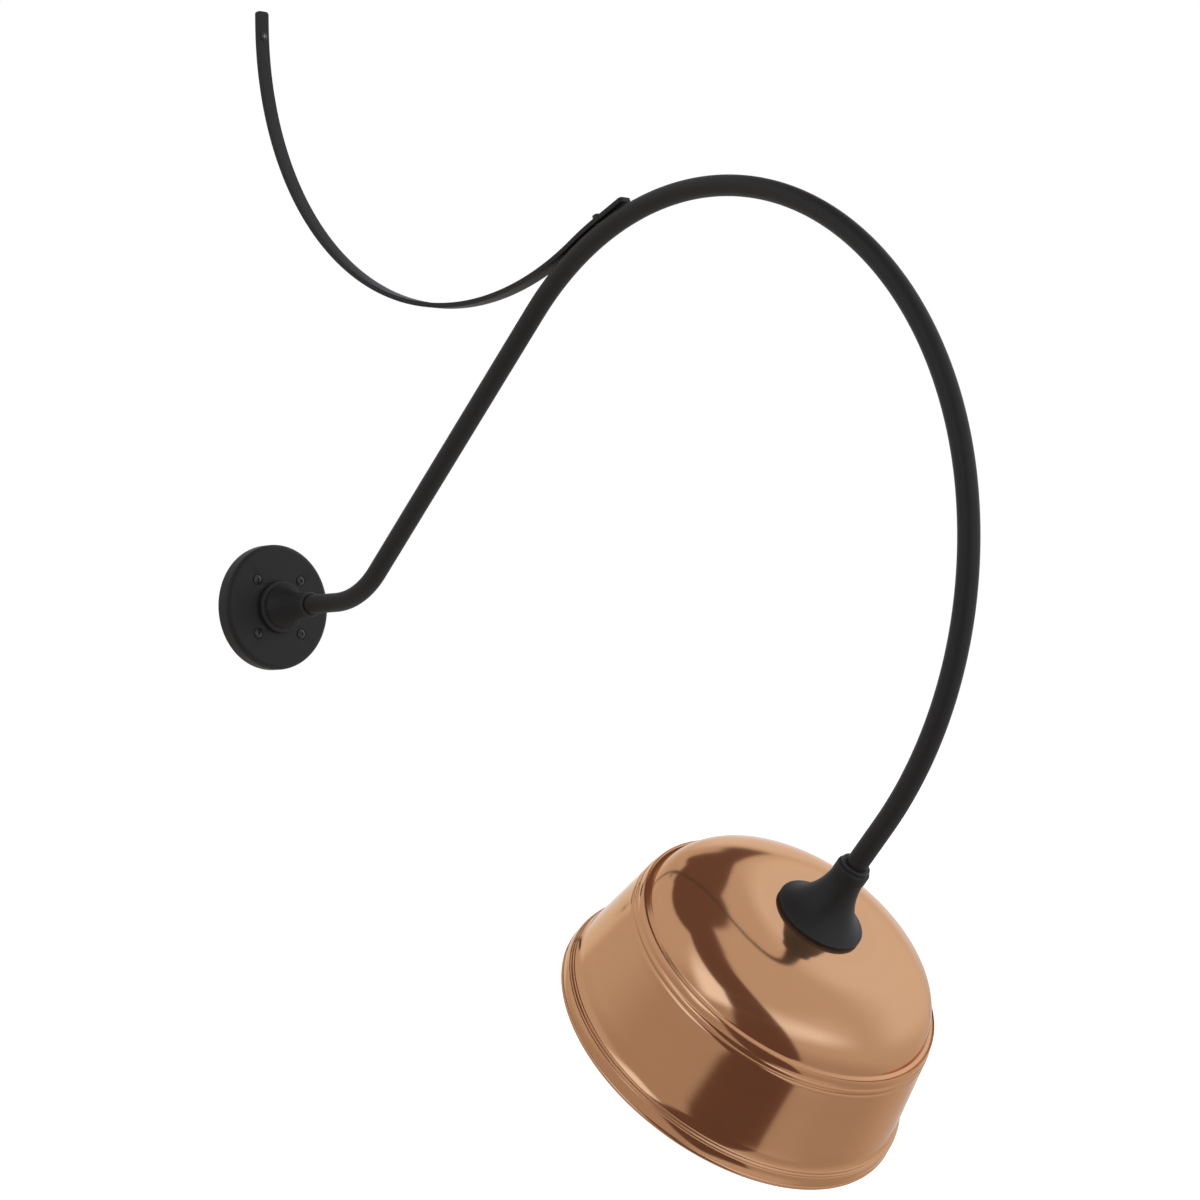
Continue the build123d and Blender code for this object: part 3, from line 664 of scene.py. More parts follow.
@made_once("node_groups", "Wound wire")
def coil_tree(name):
    """A wire wound round a curve."""
    tree, given, give = new_shape(
        name, (INTEGER, "Turns", 60), (FLOAT, "Coil Radius", 0.0004), (FLOAT, "Wire Radius", 0.00009))
    stepped = add(tree, "GeometryNodeResampleCurve", {
        "Curve": given["Geometry"], "Count": given["Turns"] * 10}, mode="COUNT")
    level = add(tree, "GeometryNodeSetCurveNormal", {"Curve": stepped, "Normal": (0, 1, 0)}, mode="FREE")
    turn = add(tree, "GeometryNodeSplineParameter", out="Factor") * given["Turns"] * (2 * pi)

    def vectors(operation, **values):
        return add(tree, "ShaderNodeVectorMath", {
            {"a": 0, "b": 1, "scale": "Scale"}[key]: value for key, value in values.items()}, operation=operation)

    normal = add(tree, "GeometryNodeInputNormal")
    side = vectors("CROSS_PRODUCT", a=normal, b=add(tree, "GeometryNodeInputTangent"))
    one = vectors("SCALE", a=normal, scale=turn.maths("COSINE") * given["Coil Radius"])
    two = vectors("SCALE", a=side, scale=turn.maths("SINE") * given["Coil Radius"])
    wound = add(tree, "GeometryNodeSetPosition", {"Geometry": level, "Offset": vectors("ADD", a=one, b=two)})
    wire = add(tree, "GeometryNodeCurvePrimitiveCircle", {"Resolution": 6, "Radius": given["Wire Radius"]})
    swept = add(tree, "GeometryNodeCurveToMesh", {"Curve": wound, "Profile Curve": wire, "Fill Caps": True})
    place_and_paint(smoothed(swept), given, give)
    return tree


def evaluated_mesh(thing):
    graph = bpy.context.evaluated_depsgraph_get()
    graph.update()
    made = thing.evaluated_get(graph)
    return bpy.data.meshes.new_from_object(made, preserve_all_data_layers=True, depsgraph=graph)


def made_by_nodes(name, source, tree, values):
    """Runs a shape tree on mesh or curve data and keeps the result as a plain mesh object."""
    raw = put_in_scene(name + "_raw", source)
    shaper = raw.modifiers.new("Shape", "NODES")
    shaper.node_group = tree
    for item in tree.interface.items_tree:
        if item.item_type == "SOCKET" and item.in_out == "INPUT" and item.name in values:
            shaper[item.identifier] = values[item.name]
    mesh = evaluated_mesh(raw)
    bpy.data.objects.remove(raw)
    if not mesh.polygons:
        raise RuntimeError(f"{name}: the shape tree made no faces")
    mesh.name = name
    return put_in_scene(name, mesh)


def with_modifier(thing, kind, **choices):
    """Applies a modifier to a mesh object."""
    tool = thing.modifiers.new(kind, kind)
    for key, value in choices.items():
        setattr(tool, key, value)
    mesh = evaluated_mesh(thing)
    thing.modifiers.clear()
    old, thing.data = thing.data, mesh
    mesh.name = thing.name
    bpy.data.meshes.remove(old)
    return thing


def facing_out(thing):
    """Turns all faces outwards."""
    work = bmesh.new()
    work.from_mesh(thing.data)
    bmesh.ops.recalc_face_normals(work, faces=work.faces)
    work.to_mesh(thing.data)
    work.free()
    return thing


def outline_mesh(name, outline, soften, closed=True):
    """The outline's points as a mesh, with how far each sticks out as an edge that hands and cloths rub."""
    pts = outline.softened(soften, closed)
    ring = pts[:-1] if closed else pts
    area = sum(a.x * b.y - b.x * a.y for a, b in zip(ring, ring[1:] + ring[:1]))
    if area > 0:        # the outer side is walked downwards, so that faces point outwards
        pts = pts[::-1]
    mesh = bpy.data.meshes.new(name)
    mesh.from_pydata([(p.x * MM, p.y * MM, 0) for p in pts], [(i, i + 1) for i in range(len(pts) - 1)], [])
    rub = mesh.attributes.new("rub", "FLOAT", "POINT")
    n = len(pts)
    for i in range(n):
        a, here, b = pts[i - 1] if i else pts[-2], pts[i], pts[i + 1] if i < n - 1 else pts[1]
        back, on = here - a, b - here
        if min(back.length, on.length) < Path.ROUNDING:
            continue
        turn = -atan2(back.x * on.y - back.y * on.x, back.dot(on))
        sharp = turn / (0.5 * (back.length + on.length))
        rub.data[i].value = max(0.0, min(1.0, sharp * RUB_RADIUS))
    return mesh


def turned(name, outline, place, lean, material, segments=160, soften=0.35, closed=True, **thread):
    """A turned piece on an axis that leans from upright towards +X."""
    values = {"Segments": segments, "Place": place, "Turn": (0.0, lean, 0.0), "Material": material}
    values.update({key.replace("_", " ").title(): value * MM for key, value in thread.items()})
    return made_by_nodes(name, outline_mesh(name, outline, soften, closed), turning_tree(), values)


def ridden(thing, body, slot, *nodes):
    """Last step of every piece: its body and the nodes it stands for. The slot, the name of its finish, is not
    used.
    """
    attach(thing, body)
    if nodes:
        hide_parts(*nodes)
    return thing


def new_curve(name, kind):
    """Data of a curve with one spline, and that spline."""
    curve = bpy.data.curves.new(name, "CURVE")
    curve.dimensions = "3D"
    return curve, curve.splines.new(kind)


def bezier_curve(name, path):
    """The path as a Bezier curve, exact to a few thousandths of a millimetre."""
    curve, spline = new_curve(name, "BEZIER")
    knots = [(*path.runs[0][1:4], 0.0)]
    for begun, *_, run, curl in path.runs:
        parts = max(1, ceil(abs(run * curl) / KNOT_TURN))
        for i in range(1, parts + 1):
            reach = run / parts / 3 if curl == 0 else 4 / 3 * tan(abs(run / parts * curl) / 4) / abs(curl)
            knots.append((*path.at(begun + run * i / parts - KNOT_SHORT), reach))
    spline.bezier_points.add(len(knots) - 1)
    for i, (x, z, h, reach) in enumerate(knots):
        point = spline.bezier_points[i]
        ahead = knots[i + 1][3] if i + 1 < len(knots) else reach
        point.handle_left_type = point.handle_right_type = "FREE"
        point.co = Vector((x, 0, z)) * MM
        point.handle_left = Vector((x - reach * cos(h), 0, z - reach * sin(h))) * MM
        point.handle_right = Vector((x + ahead * cos(h), 0, z + ahead * sin(h))) * MM
    return curve


def poly_curve(name, points):
    """A curve of straight steps through points in millimetres."""
    curve, spline = new_curve(name, "POLY")
    spline.points.add(len(points) - 1)
    for point, spot in zip(spline.points, points):
        point.co = (*[c * MM for c in spot], 1)
    return curve


# ---- shared effects for the finishes ------------------------------------------------------------
@made_once("node_groups", "Edge rub")
def rub_group(name):
    """Broken-up rubbing along edges: a colour and a roughness that go over to the bare surface."""
    tree, given, give = new_group("ShaderNodeTree", name, [
        (VECTOR, "Vector", None), (COLOUR, "Colour", (0.01, 0.01, 0.01, 1)),
        (COLOUR, "Bare Colour", (0.1, 0.1, 0.1, 1)), (FLOAT, "Roughness", 0.4), (FLOAT, "Bare Roughness", 0.3),
        (FLOAT, "Edge", 0.0), (FLOAT, "Amount", 0.5), (FLOAT, "Scale", 200.0)],
        [(COLOUR, "Colour"), (FLOAT, "Roughness")])
    broken = given["Edge"] * (noise(given["Vector"], given["Scale"], 5.0, 0.6) + 0.3)
    mask = add(tree, "ShaderNodeMapRange", {0: broken * given["Amount"], 1: 0.15, 2: 0.75},
               interpolation_type="SMOOTHSTEP")
    rough = add(tree, "ShaderNodeMix", {0: mask, 2: given["Roughness"], 3: given["Bare Roughness"]},
                data_type="FLOAT")
    give(Colour=blend(tree, mask, given["Colour"], given["Bare Colour"]), Roughness=rough)
    return tree


@made_once("node_groups", "Orange peel")
def peel_group(name):
    """Orange peel of a sprayed or powder coat, with finer grit on it: a height."""
    tree, given, give = new_group("ShaderNodeTree", name, [
        (VECTOR, "Vector", None), (FLOAT, "Waves Apart", 0.0016), (FLOAT, "Grit", 0.25)], [(FLOAT, "Height")])
    spot, scale = given["Vector"], 1.0 / given["Waves Apart"]
    give(Height=noise(spot, scale, 2.0, 0.45) + noise(spot, scale * 5.0, 2.0) * given["Grit"])
    return tree


@made_once("node_groups", "Spin lines")
def spin_group(name):
    """Fine lines round an axis, left by a spinning or turning tool: a height and a streak value."""
    tree, given, give = new_group("ShaderNodeTree", name, [
        (VECTOR, "Vector", None), (FLOAT, "Line Pitch", 0.001), (FLOAT, "Waver", 0.1)],
        [(FLOAT, "Height"), (FLOAT, "Streak")])
    x, y, z = split(given["Vector"])
    drift = noise(given["Vector"], 6.0, 1.0) * given["Waver"] * given["Line Pitch"]
    rings = join(tree, (x * x + y * y).maths("SQRT") + drift, z, 0.0)
    scale = 0.5 / given["Line Pitch"]
    give(Height=noise(rings, scale, 4.0, 0.7, "2D"), Streak=noise(rings, scale * 0.08, 3.0, dimensions="2D"))
    return tree


@made_once("node_groups", "Handling")
def handling_group(name):
    """Faint wiping marks and dust: a roughness change."""
    tree, given, give = new_group("ShaderNodeTree", name, [
        (VECTOR, "Vector", None), (FLOAT, "Roughness", 0.2), (FLOAT, "Amount", 0.05), (FLOAT, "Scale", 14.0)],
        [(FLOAT, "Roughness")])
    patches = noise(given["Vector"], given["Scale"], 6.0, 0.55)
    specks = noise(given["Vector"], given["Scale"] * 60.0, 2.0)
    dots = add(tree, "ShaderNodeMapRange", {0: specks, 1: 0.68, 2: 0.78})
    both = patches - 0.5 + dots * 0.5
    give(Roughness=given["Roughness"].maths("ADD", both * (given["Amount"] * 2.0), clamp=True))
    return tree


def placed_group(group, vector, values=None, out=0):
    """A shader group on these coordinates, with its own values."""
    return add(vector.tree, "ShaderNodeGroup", {"Vector": vector, **(values or {})}, out, node_tree=group)


def handled(spot, rough, amount, scale):
    return placed_group(handling_group(), spot, {"Roughness": rough, "Amount": amount, "Scale": scale})


def peeled(spot, apart, grit):
    return placed_group(peel_group(), spot, {"Waves Apart": apart, "Grit": grit})


def rubbed_coat(spot, colours, roughs, amount, scale):
    """Colour and roughness of a black finish whose edges are rubbed."""
    edge = add(spot.tree, "ShaderNodeAttribute", out="Fac", attribute_name="rub")
    both = placed_group(rub_group(), spot, {
        "Colour": colours[0], "Bare Colour": colours[1], "Roughness": roughs[0], "Bare Roughness": roughs[1],
        "Edge": edge, "Amount": amount, "Scale": scale}, "Colour")
    return {"Base_Color": both, "Roughness": both.of("Roughness")}


def new_finish(name, **constants):
    """A material with one Principled shader and its constants set. Gives its tree and what feeds the shader."""
    material = bpy.data.materials.new(name)
    material.use_nodes = True
    tree = material.node_tree
    shader = next(n for n in tree.nodes if n.type == "BSDF_PRINCIPLED")
    for key, value in constants.items():
        shader.inputs[key.replace("_", " ")].default_value = value

    def feed(bump=None, **wires):
        """Links the shader's inputs. A bump is a height, its strength and its depth."""
        if bump:
            height, strength, depth = bump
            wires["Normal"] = add(tree, "ShaderNodeBump", {
                "Strength": strength, "Distance": depth, "Height": height})
        for key, wire in wires.items():
            tree.links.new(wire.socket, shader.inputs[key.replace("_", " ")])
        return material

    return tree, feed


def on_object(tree, place=None, lean=None):
    """Object coordinates, or the same centred on an axis."""
    spot = add(tree, "ShaderNodeTexCoord", out="Object")
    if place is None:
        return spot
    return add(tree, "ShaderNodeMapping", {"Vector": spot, "Location": place, "Rotation": (0, lean, 0)},
               vector_type="TEXTURE")


def rgba(tint, times=1.0):
    return (*[min(1.0, part * times) for part in tint], 1)


@made_once("materials", "Black powder coat")
def black_coat(name, now):
    """Satin black powder coat with orange peel and slightly polished edges."""
    look = now.finish
    tree, feed = new_finish(name, Specular_IOR_Level=0.26)
    spot = on_object(tree)
    roughs = handled(spot, look.black_rough, 0.05, 16.0), look.black_rough * 0.75
    coat = rubbed_coat(spot, (rgba(look.black), rgba(look.black, 2.2)), roughs, 0.9, 260.0)
    return feed(bump=(peeled(spot, look.orange_peel * MM, 0.3), 0.22, 0.0003), **coat)


@made_once("materials", "Black screws")
def black_screw(name, now):
    """Black-oxide screws: darker, a little glossier, with bare corners in the recess."""
    black = now.finish.black
    tree, feed = new_finish(name, Specular_IOR_Level=0.5)
    spot = on_object(tree)
    coat = rubbed_coat(spot, (rgba(black, 0.75), rgba(black, 5.0)), (0.34, 0.28), 1.0, 900.0)
    return feed(bump=(peeled(spot, 0.0005, 0.4), 0.15, 0.0001), **coat)


@made_once("materials", "Spun copper")
def copper_sheet(name, now):
    """Lacquered spun copper with faint lines round the lamp axis."""
    look = now.finish
    tree, feed = new_finish(name, Metallic=0.86, Specular_Tint=(0.86, 0.7, 0.57, 1), Specular_IOR_Level=0.2)
    centred = on_object(tree, rim_centre(now), now.shade.lean)
    lines = placed_group(spin_group(), centred, {"Line Pitch": look.spin_pitch * MM, "Waver": 0.6}, "Height")
    streak = lines.of("Streak")
    streak_gloss = add(tree, "ShaderNodeMapRange", {0: streak, 1: 0.3, 2: 0.7, 3: 0.97, 4: 1.03})
    return feed(bump=(lines, 0.035, 0.00004),
                Base_Color=blend(tree, streak, rgba(look.copper, 0.96), rgba(look.copper, 1.04)),
                Roughness=handled(centred, look.copper_rough, 0.02, 9.0) * streak_gloss)


def plated_steel(now, name="Zinc-plated steel", tint=None, rough=0.32, pitch=0.0005, place=None, lean=None,
                 metal=1.0):
    """Plated metal with turning lines, or with scattered grain where no axis is given."""
    if name in bpy.data.materials:
        return bpy.data.materials[name]
    base = tint or now.finish.steel
    tree, feed = new_finish(name, Metallic=metal)
    spot = on_object(tree, place, lean)
    lines = placed_group(spin_group(), spot, {"Line Pitch": pitch, "Waver": 0.5}, "Height")
    return feed(bump=(lines, 0.12, 0.00008), Roughness=handled(spot, rough, 0.08, 60.0),
                Base_Color=blend(tree, noise(spot, 180.0, 4.0), rgba(base, 0.8), rgba(base, 1.12)))


@made_once("materials", "Glazed ceramic")
def glazed_ceramic(name, now):
    """Cream glazed ceramic with soft waves in the glaze and a few darker specks."""
    cream = now.finish.ceramic
    tree, feed = new_finish(
        name, Subsurface_Weight=0.1, Subsurface_Scale=0.002, Coat_Weight=0.4, Coat_Roughness=0.05)
    spot = on_object(tree)
    specks = add(tree, "ShaderNodeMapRange", {0: noise(spot, 700.0, 1.0), 1: 0.74, 2: 0.8, 3: 0.0, 4: 0.5})
    return feed(bump=(peeled(spot, 0.004, 0.05), 0.1, 0.0004), Roughness=handled(spot, 0.22, 0.06, 40.0),
                Base_Color=blend(tree, specks, rgba(cream), rgba(cream, 0.55)))


@made_once("materials", "Seal rubber")
def seal_rubber(name):
    """Dark matt foam rubber."""
    tree, feed = new_finish(name, Specular_IOR_Level=0.3, Roughness=0.85)
    peel = peeled(on_object(tree), 0.0007, 0.8)
    return feed(bump=(peel, 0.7, 0.0004),
                Base_Color=blend(tree, peel, (0.012, 0.012, 0.013, 1), (0.035, 0.034, 0.033, 1)))


def clear_glass(name, tint):
    """Thin clear glass with faint draw lines."""
    if name in bpy.data.materials:
        return bpy.data.materials[name]
    tree, feed = new_finish(name, Transmission_Weight=1.0, IOR=1.47, Roughness=0.0)
    waves = noise(on_object(tree), 45.0, 1.0)
    return feed(bump=(waves, 0.03, 0.0008), Base_Color=blend(tree, waves, rgba(tint), rgba(tint, 0.985)))


# ---- the pieces -----------------------------------------------------------------------------------
def on_wall_axis(name, outline, material, **choices):
    return turned(name, outline, ORIGIN, pi / 2, material, **choices)


def upright(name, outline, material, **choices):
    return turned(name, outline, ORIGIN, 0.0, material, **choices)


def on_lamp_axis(now, name, outline, material, **choices):
    return turned(name, outline, rim_centre(now), now.shade.lean, material, **choices)


def on_screw_circle(name, one, plate, material, loose=0.0, seed=1, out=0.0):
    """Copies of a small upright piece on the plate's screw circle. The piece itself is used up."""
    ring = made_by_nodes(name, one.data, circle_tree(), {
        "Count": plate.screw_count, "Circle Radius": plate.screw_pcd / 2 * MM, "First": pi / 4, "Loose": loose,
        "Seed": seed, "Place": (out * MM, 0.0, 0.0), "Turn": (0.0, pi / 2, 0.0), "Material": material})
    bpy.data.objects.remove(one)
    return ring


def cut_away(thing, cutter):
    """Takes the cutter's shape out of the thing, and the cutter out of the scene."""
    with_modifier(thing, "BOOLEAN", object=cutter, operation="DIFFERENCE", solver="EXACT")
    bpy.data.objects.remove(cutter)


def bevelled(thing, width, sharp):
    """Marks the sharp edges and breaks the sharpest with a small bevel."""
    thing.data.set_sharp_from_angle(angle=sharp)
    with_modifier(thing, "BEVEL", width=width * MM, segments=2, limit_method="ANGLE", angle_limit=BEVEL_FROM)


def bend_arm(now):
    arm = now.arm
    path, _ = arm_path(arm)
    path.straight(arm.in_fitter)
    tube = made_by_nodes("arm_tube_bent", bezier_curve("arm_line", path), tube_tree(), {
        "Radius": arm.tube_d / 2 * MM, "Sides": arm.sides, "Step": TUBE_STEP * MM, "Closed Ends": False,
        "Material": black_coat(now)})
    with_modifier(facing_out(tube), "SOLIDIFY", thickness=arm.tube_wall * MM, offset=-1)
    ridden(tube, FIXED, "black_coat", "arm_tube")


def bend_strap(now):
    arm = now.arm
    path, corner = strap_path(arm), arm.strap_corner_r
    near_end = [corner * (1 - cos(pi / 2 * i / 8)) for i in range(9)]
    between = path.length - 2 * corner
    steps = ceil(between / STRAP_STEP)
    walked = near_end + [corner + between * i / steps for i in range(1, steps)]
    walked += [path.length - d for d in near_end[::-1]]
    spots = [(x, 0, z) for x, z, _ in (path.at(d) for d in walked)]
    strap = made_by_nodes("brace_strap_bent", poly_curve("strap_line", spots), flat_bar_tree(), {
        "Width": arm.strap_w * MM, "Thickness": arm.strap_t * MM, "Edge": STRAP_EDGE * MM, "Corner": corner * MM,
        "Material": black_coat(now)})
    bevelled(facing_out(strap), 0.3, BEVEL_FROM)
    ridden(strap, FIXED, "black_coat", "brace_strap")


def turn_wall_plate(now):
    """The hollow plate with its screw seats, and the bosses and the earth screw's pad behind its face."""
    plate, black = now.plate, black_coat(now)
    face, knee, back = plate.depth, plate.depth - plate.edge_r, plate.depth - plate.wall
    outer, inner, bore = plate.plate_r, plate.plate_r - plate.wall, plate.screw_r
    shell = Outline(inner, plate.seal_t).to((outer, plate.seal_t), (outer, knee))
    shell.about((outer - plate.edge_r, knee), pi / 2, 14)
    shell.to((NIPPLE_HOLE_R, face), (NIPPLE_HOLE_R, back), (inner - 2, back), (inner, back - 2))
    body = on_wall_axis("wall_plate_turned", shell, black, segments=plate.segments)
    seat_floor, rim = face - plate.sink, plate.head_r + 0.9
    seat = Outline(0, -2).to((bore + 0.3, -2), (bore + 0.3, seat_floor), (plate.head_r + 0.7, seat_floor),
                             (rim, seat_floor + 0.2), (rim, face + 2), (0, face + 2))
    one = upright("seat", seat, black, segments=48, soften=0.05, closed=False)
    cut_away(body, on_screw_circle("seats", one, plate, black))
    bevelled(body, 0.2, PLATE_SHARP)
    body.data.set_sharp_from_angle(angle=PLATE_SHARP)
    ridden(body, FIXED, "black_coat", "wall_plate")
    boss = Outline(bore + 0.35, plate.seal_t).to((BOSS_R, plate.seal_t), (BOSS_R, back), (bore + 0.35, back))
    one = upright("boss", boss, black, segments=40, soften=0.3)
    ridden(on_screw_circle("plate_bosses", one, plate, black), FIXED, "black_coat")
    pad = Outline(2.1, back - 3).to((4.5, back - 3), (4.5, back), (2.1, back))
    place = (0, 0, -EARTH_SCREW_DROP * MM)
    ridden(turned("earth_pad", pad, place, pi / 2, black, segments=40, soften=0.3), FIXED, "black_coat")


def turn_hub(now):
    """A ring on the plate's face, then a waisted cone that narrows to the tube."""
    plate, start = now.plate, now.arm.start
    face, end, tube_r = plate.depth, plate.depth + plate.hub_length, now.arm.tube_d / 2
    bore, r, mouth = tube_r - now.arm.tube_wall, plate.hub_end_r, tube_r + 0.1
    hub = Outline(mouth, end).to((r - 1.2, end)).about((r - 1.2, end - 1.2), -pi / 2).to((r, end - 9))
    hub.bend(15.6, face + 21, way=(0.01, -1), steps=14).bend(21.6, face + 8.4, steps=14)
    hub.to((21.9, face + 6.2), (24.3, face + 6.2)).about((24.3, face + 4.0), -pi / 2)
    hub.to((plate.hub_base_r, face), (10.5, face), (10.5, face + 14), (bore, face + 14), (bore, start),
           (mouth, start))
    piece = on_wall_axis("wall_hub_turned", hub, black_coat(now), segments=plate.segments)
    ridden(piece, FIXED, "black_coat", "wall_hub")


def turn_fitter(now):
    """The bell over the shade's top, and the small ring where the tube enters its collar."""
    shade, black, nipple = now.shade, black_coat(now), now.lamp.nipple_r
    top, tube_r = shade.height + shade.fitter_height, now.arm.tube_d / 2
    low, tube_end = top - 3.2, top - now.arm.in_fitter
    web, base, bell_r, collar_r = tube_end - 6, shade.height, shade.bell_r, shade.collar_r
    neck_z, mouth = low - shade.collar_length, tube_r + 0.1
    bell = Outline(mouth, low).to((collar_r - 2.6, low)).about((collar_r - 2.6, low - 2.6), -pi / 2)
    bell.to((collar_r, neck_z + 0.8), (collar_r - 0.5, neck_z)).bend(18.7, neck_z - 20, way=(0.05, -1), steps=16)
    bell.bend(28.0, base + 13, steps=16).bend(bell_r - 0.6, base + 4, steps=16)
    bell.through((bell_r - 0.12, base + 3.6), (bell_r, base + 3.0), steps=5)
    bell.to((bell_r, base), (bell_r - 3, base), (bell_r - 3.6, base + 2), (25.0, base + 11), (15.6, web - 8),
            (15.0, web), (nipple, web), (nipple, tube_end), (mouth, tube_end))
    piece = on_lamp_axis(now, "fitter_bell_turned", bell, black, segments=now.plate.segments, soften=0.3)
    ridden(piece, FIXED, "black_coat", "fitter_bell")
    bore = tube_r + 0.02
    small = Outline(bore, top).to((12.2, top)).about((12.2, top - 1), -pi / 2).to((13.2, low), (bore, low))
    piece = on_lamp_axis(now, "fitter_ring_turned", small, black, segments=96, soften=0.2)
    ridden(piece, FIXED, "black_coat", "fitter_ring")


def shade_outline(now):
    """Dome, two stepped beads, cone, two fine beads and a rolled rim, then back up the inside."""
    shade = now.shade
    top, edge, knee, side = shade.height, shade.dome_flat_r, shade.knee, DOME_SIDE
    b, t, hole = shade.bead_base, shade.sheet, now.lamp.nipple_r + 0.2
    big_z = top - shade.dome_r
    small_r = edge + (shade.dome_r - shade.knee_r) * sin(knee)
    small_z = big_z + (shade.dome_r - shade.knee_r) * cos(knee)
    line = Outline(hole, top).to((30, top), (edge, top))
    line.about((edge, big_z), -knee, 40).about((small_r, small_z), -(side - knee), 34)
    line.bend(141.4, b + 14.6, steps=6)

    def bead(low, high, r_low, r_high, stand):
        line.through(((r_low + r_high) / 2 + stand, (low + high) / 2), (r_low, low), steps=8)

    def cone(upper, lower, rings):
        upper, lower = Vector(upper), Vector(lower)
        line.to(*[upper.lerp(lower, i / rings) for i in range(1, rings + 1)])

    bead(b + 7.2, b + 14.6, 143.1, 141.4, 0.5)
    line.to((143.5, b + 6.6))
    bead(b + 1.8, b + 6.6, 144.2, 143.5, 0.8)
    line.to((144.3, b + 1.2)).through((144.9, b + 0.4), (145.7, b - 2.2), steps=5)
    cone((145.7, b - 2.2), (shade.skirt_low_r, 27.5), 8)
    line.through((158.5, 22.6), (160.3, 18.9), steps=7)
    bead(16.8, 18.9, 161.2, 160.3, 0.6)
    line.to((161.6, 16.4))
    bead(14.4, 16.4, 162.4, 161.6, 0.6)
    line.to((163.1, 14.0)).through((shade.rim_r, 9.0), (shade.rim_r - 0.3, 4.2), steps=8)
    line.through((162.0, 0.0), (160.2, 1.9), steps=12)
    line.to((161.4, 4.2), (162.2, 6.0), (161.8, 13.0), (159.9, 15.2), (158.9, 18.0), (156.2, 27.5))
    cone((156.2, 27.5), (144.0, b - 2.2), 6)
    line.to((142.3, b + 1.0), (141.2, b + 8.0), (139.6, b + 14.0))
    inner_small = shade.knee_r - t
    line.to((small_r + inner_small * sin(side), small_z + inner_small * cos(side)))
    line.about((small_r, small_z), side - knee, 20).about((edge, big_z), knee, 20)
    return line.to((30, top - t), (hole, top - t))


def spin_shade(now):
    piece = on_lamp_axis(now, "shade_spun", shade_outline(now), copper_sheet(now), segments=now.shade.segments,
                         soften=0.3)
    ridden(piece, FIXED, "copper", "shade", "shade_skirt")


def cross_recess(name, head_r, head_h):
    """Tapered cross that is cut into a screw's head."""
    top, deep, arm, half = head_h + 1, head_h * 0.42, head_r * 0.56, head_r * 0.13
    plus = [(arm, -half), (arm, half), (half, half), (half, arm), (-half, arm), (-half, half),
            (-arm, half), (-arm, -half), (-half, -half), (-half, -arm), (half, -arm), (half, -half)]
    spots = [(x * MM, y * MM, top * MM) for x, y in plus]
    spots += [(x * 0.5 * MM, y * 0.72 * MM if abs(x) > abs(y) else y * 0.5 * MM, deep * MM) for x, y in plus]
    n = len(plus)
    faces = [list(range(n)), list(range(2 * n - 1, n - 1, -1))]
    faces += [[i, n + i, n + (i + 1) % n, (i + 1) % n] for i in range(n)]
    mesh = bpy.data.meshes.new(name)
    mesh.from_pydata(spots, [], faces)
    return facing_out(put_in_scene(name, mesh))


def one_screw(name, now, shank_r, shank, head_r, head_h, neck=0.0, rim=0.5):
    """Pan-head screw with a cross recess, a thinner plain neck if asked, and a thread.

    Its head's seat is at height 0, and rim is the share of the head's height that its side takes up.
    """
    line = Outline(0, head_h).bend(head_r, head_h * rim, way=(1, 0), steps=10).to((head_r, 0))
    if neck:
        line.to((shank_r * 0.8, 0), (shank_r * 0.8, -neck), (shank_r, -neck))
    else:
        line.to((shank_r, 0))
    line.fine(shank_r, -shank + shank_r, 0.25).to((shank_r * 0.4, -shank), (0, -shank))
    screw = upright(name, line, black_screw(now), segments=48, soften=0.12, closed=False, thread_pitch=0.8,
                    thread_depth=shank_r * 0.2, thread_low=-shank + shank_r, thread_high=-neck - 0.4)
    cut_away(screw, cross_recess(name + "_recess", head_r, head_h))
    screw.data.set_sharp_from_angle(angle=radians(40))
    return screw


def drive_screws(now):
    plate, arm = now.plate, now.arm
    seat = plate.depth - plate.sink
    screw = one_screw("wall_screw", now, plate.screw_r, seat + plate.grip, plate.head_r, plate.head_h, neck=seat)
    ring = on_screw_circle("plate_screws_set", screw, plate, black_screw(now), loose=1.5, seed=3, out=seat)
    ridden(ring, FIXED, "black_screws", "plate_screws")
    seat = arm.strap_t - 0.05
    wall_spot, arm_spot = Vector((seat * MM, 0, arm.brace_wall_z * MM)), brace_seat(arm, seat)
    for node, spot, turn, shank, head_r, head_h, more in (
            ("brace_wall_screw", wall_spot, pi / 2, seat + arm.brace_grip, 3.9, 2.2, {"neck": seat}),
            ("brace_arm_screw", arm_spot, -arm.brace_slope, arm.strap_t + 9.0, 3.8, 5.8, {"rim": 0.86})):
        screw = one_screw(node + "_set", now, BRACE_SCREW_R, shank, head_r, head_h, **more)
        screw.data.transform(Matrix.Translation(spot) @ Matrix.Rotation(turn, 4, "Y"))
        ridden(screw, FIXED, "black_screws", node)


def holder_heights(now):
    """Heights on the lamp axis of the holder and the lamp."""
    lamp = now.lamp
    top = now.shade.height - now.shade.sheet - 1.5 - 4.0        # under the shade's washer and locknut
    body_top = top - 13.0
    shell_top = body_top - 12.0
    lamp_top = shell_top - 3.2 - 0.3                            # just short of the sprung contact
    return SimpleNamespace(
        cap_top=top, cap_low=top - 22.0, body_top=body_top, body_low=body_top - 45.0, shell_top=shell_top,
        lamp_top=lamp_top, ball=lamp_top - lamp.bulb_length + lamp.bulb_r, cap_r=lamp.shell_r - lamp.shell_t - 0.3,
        lamp_cap_low=lamp_top - 25.5)


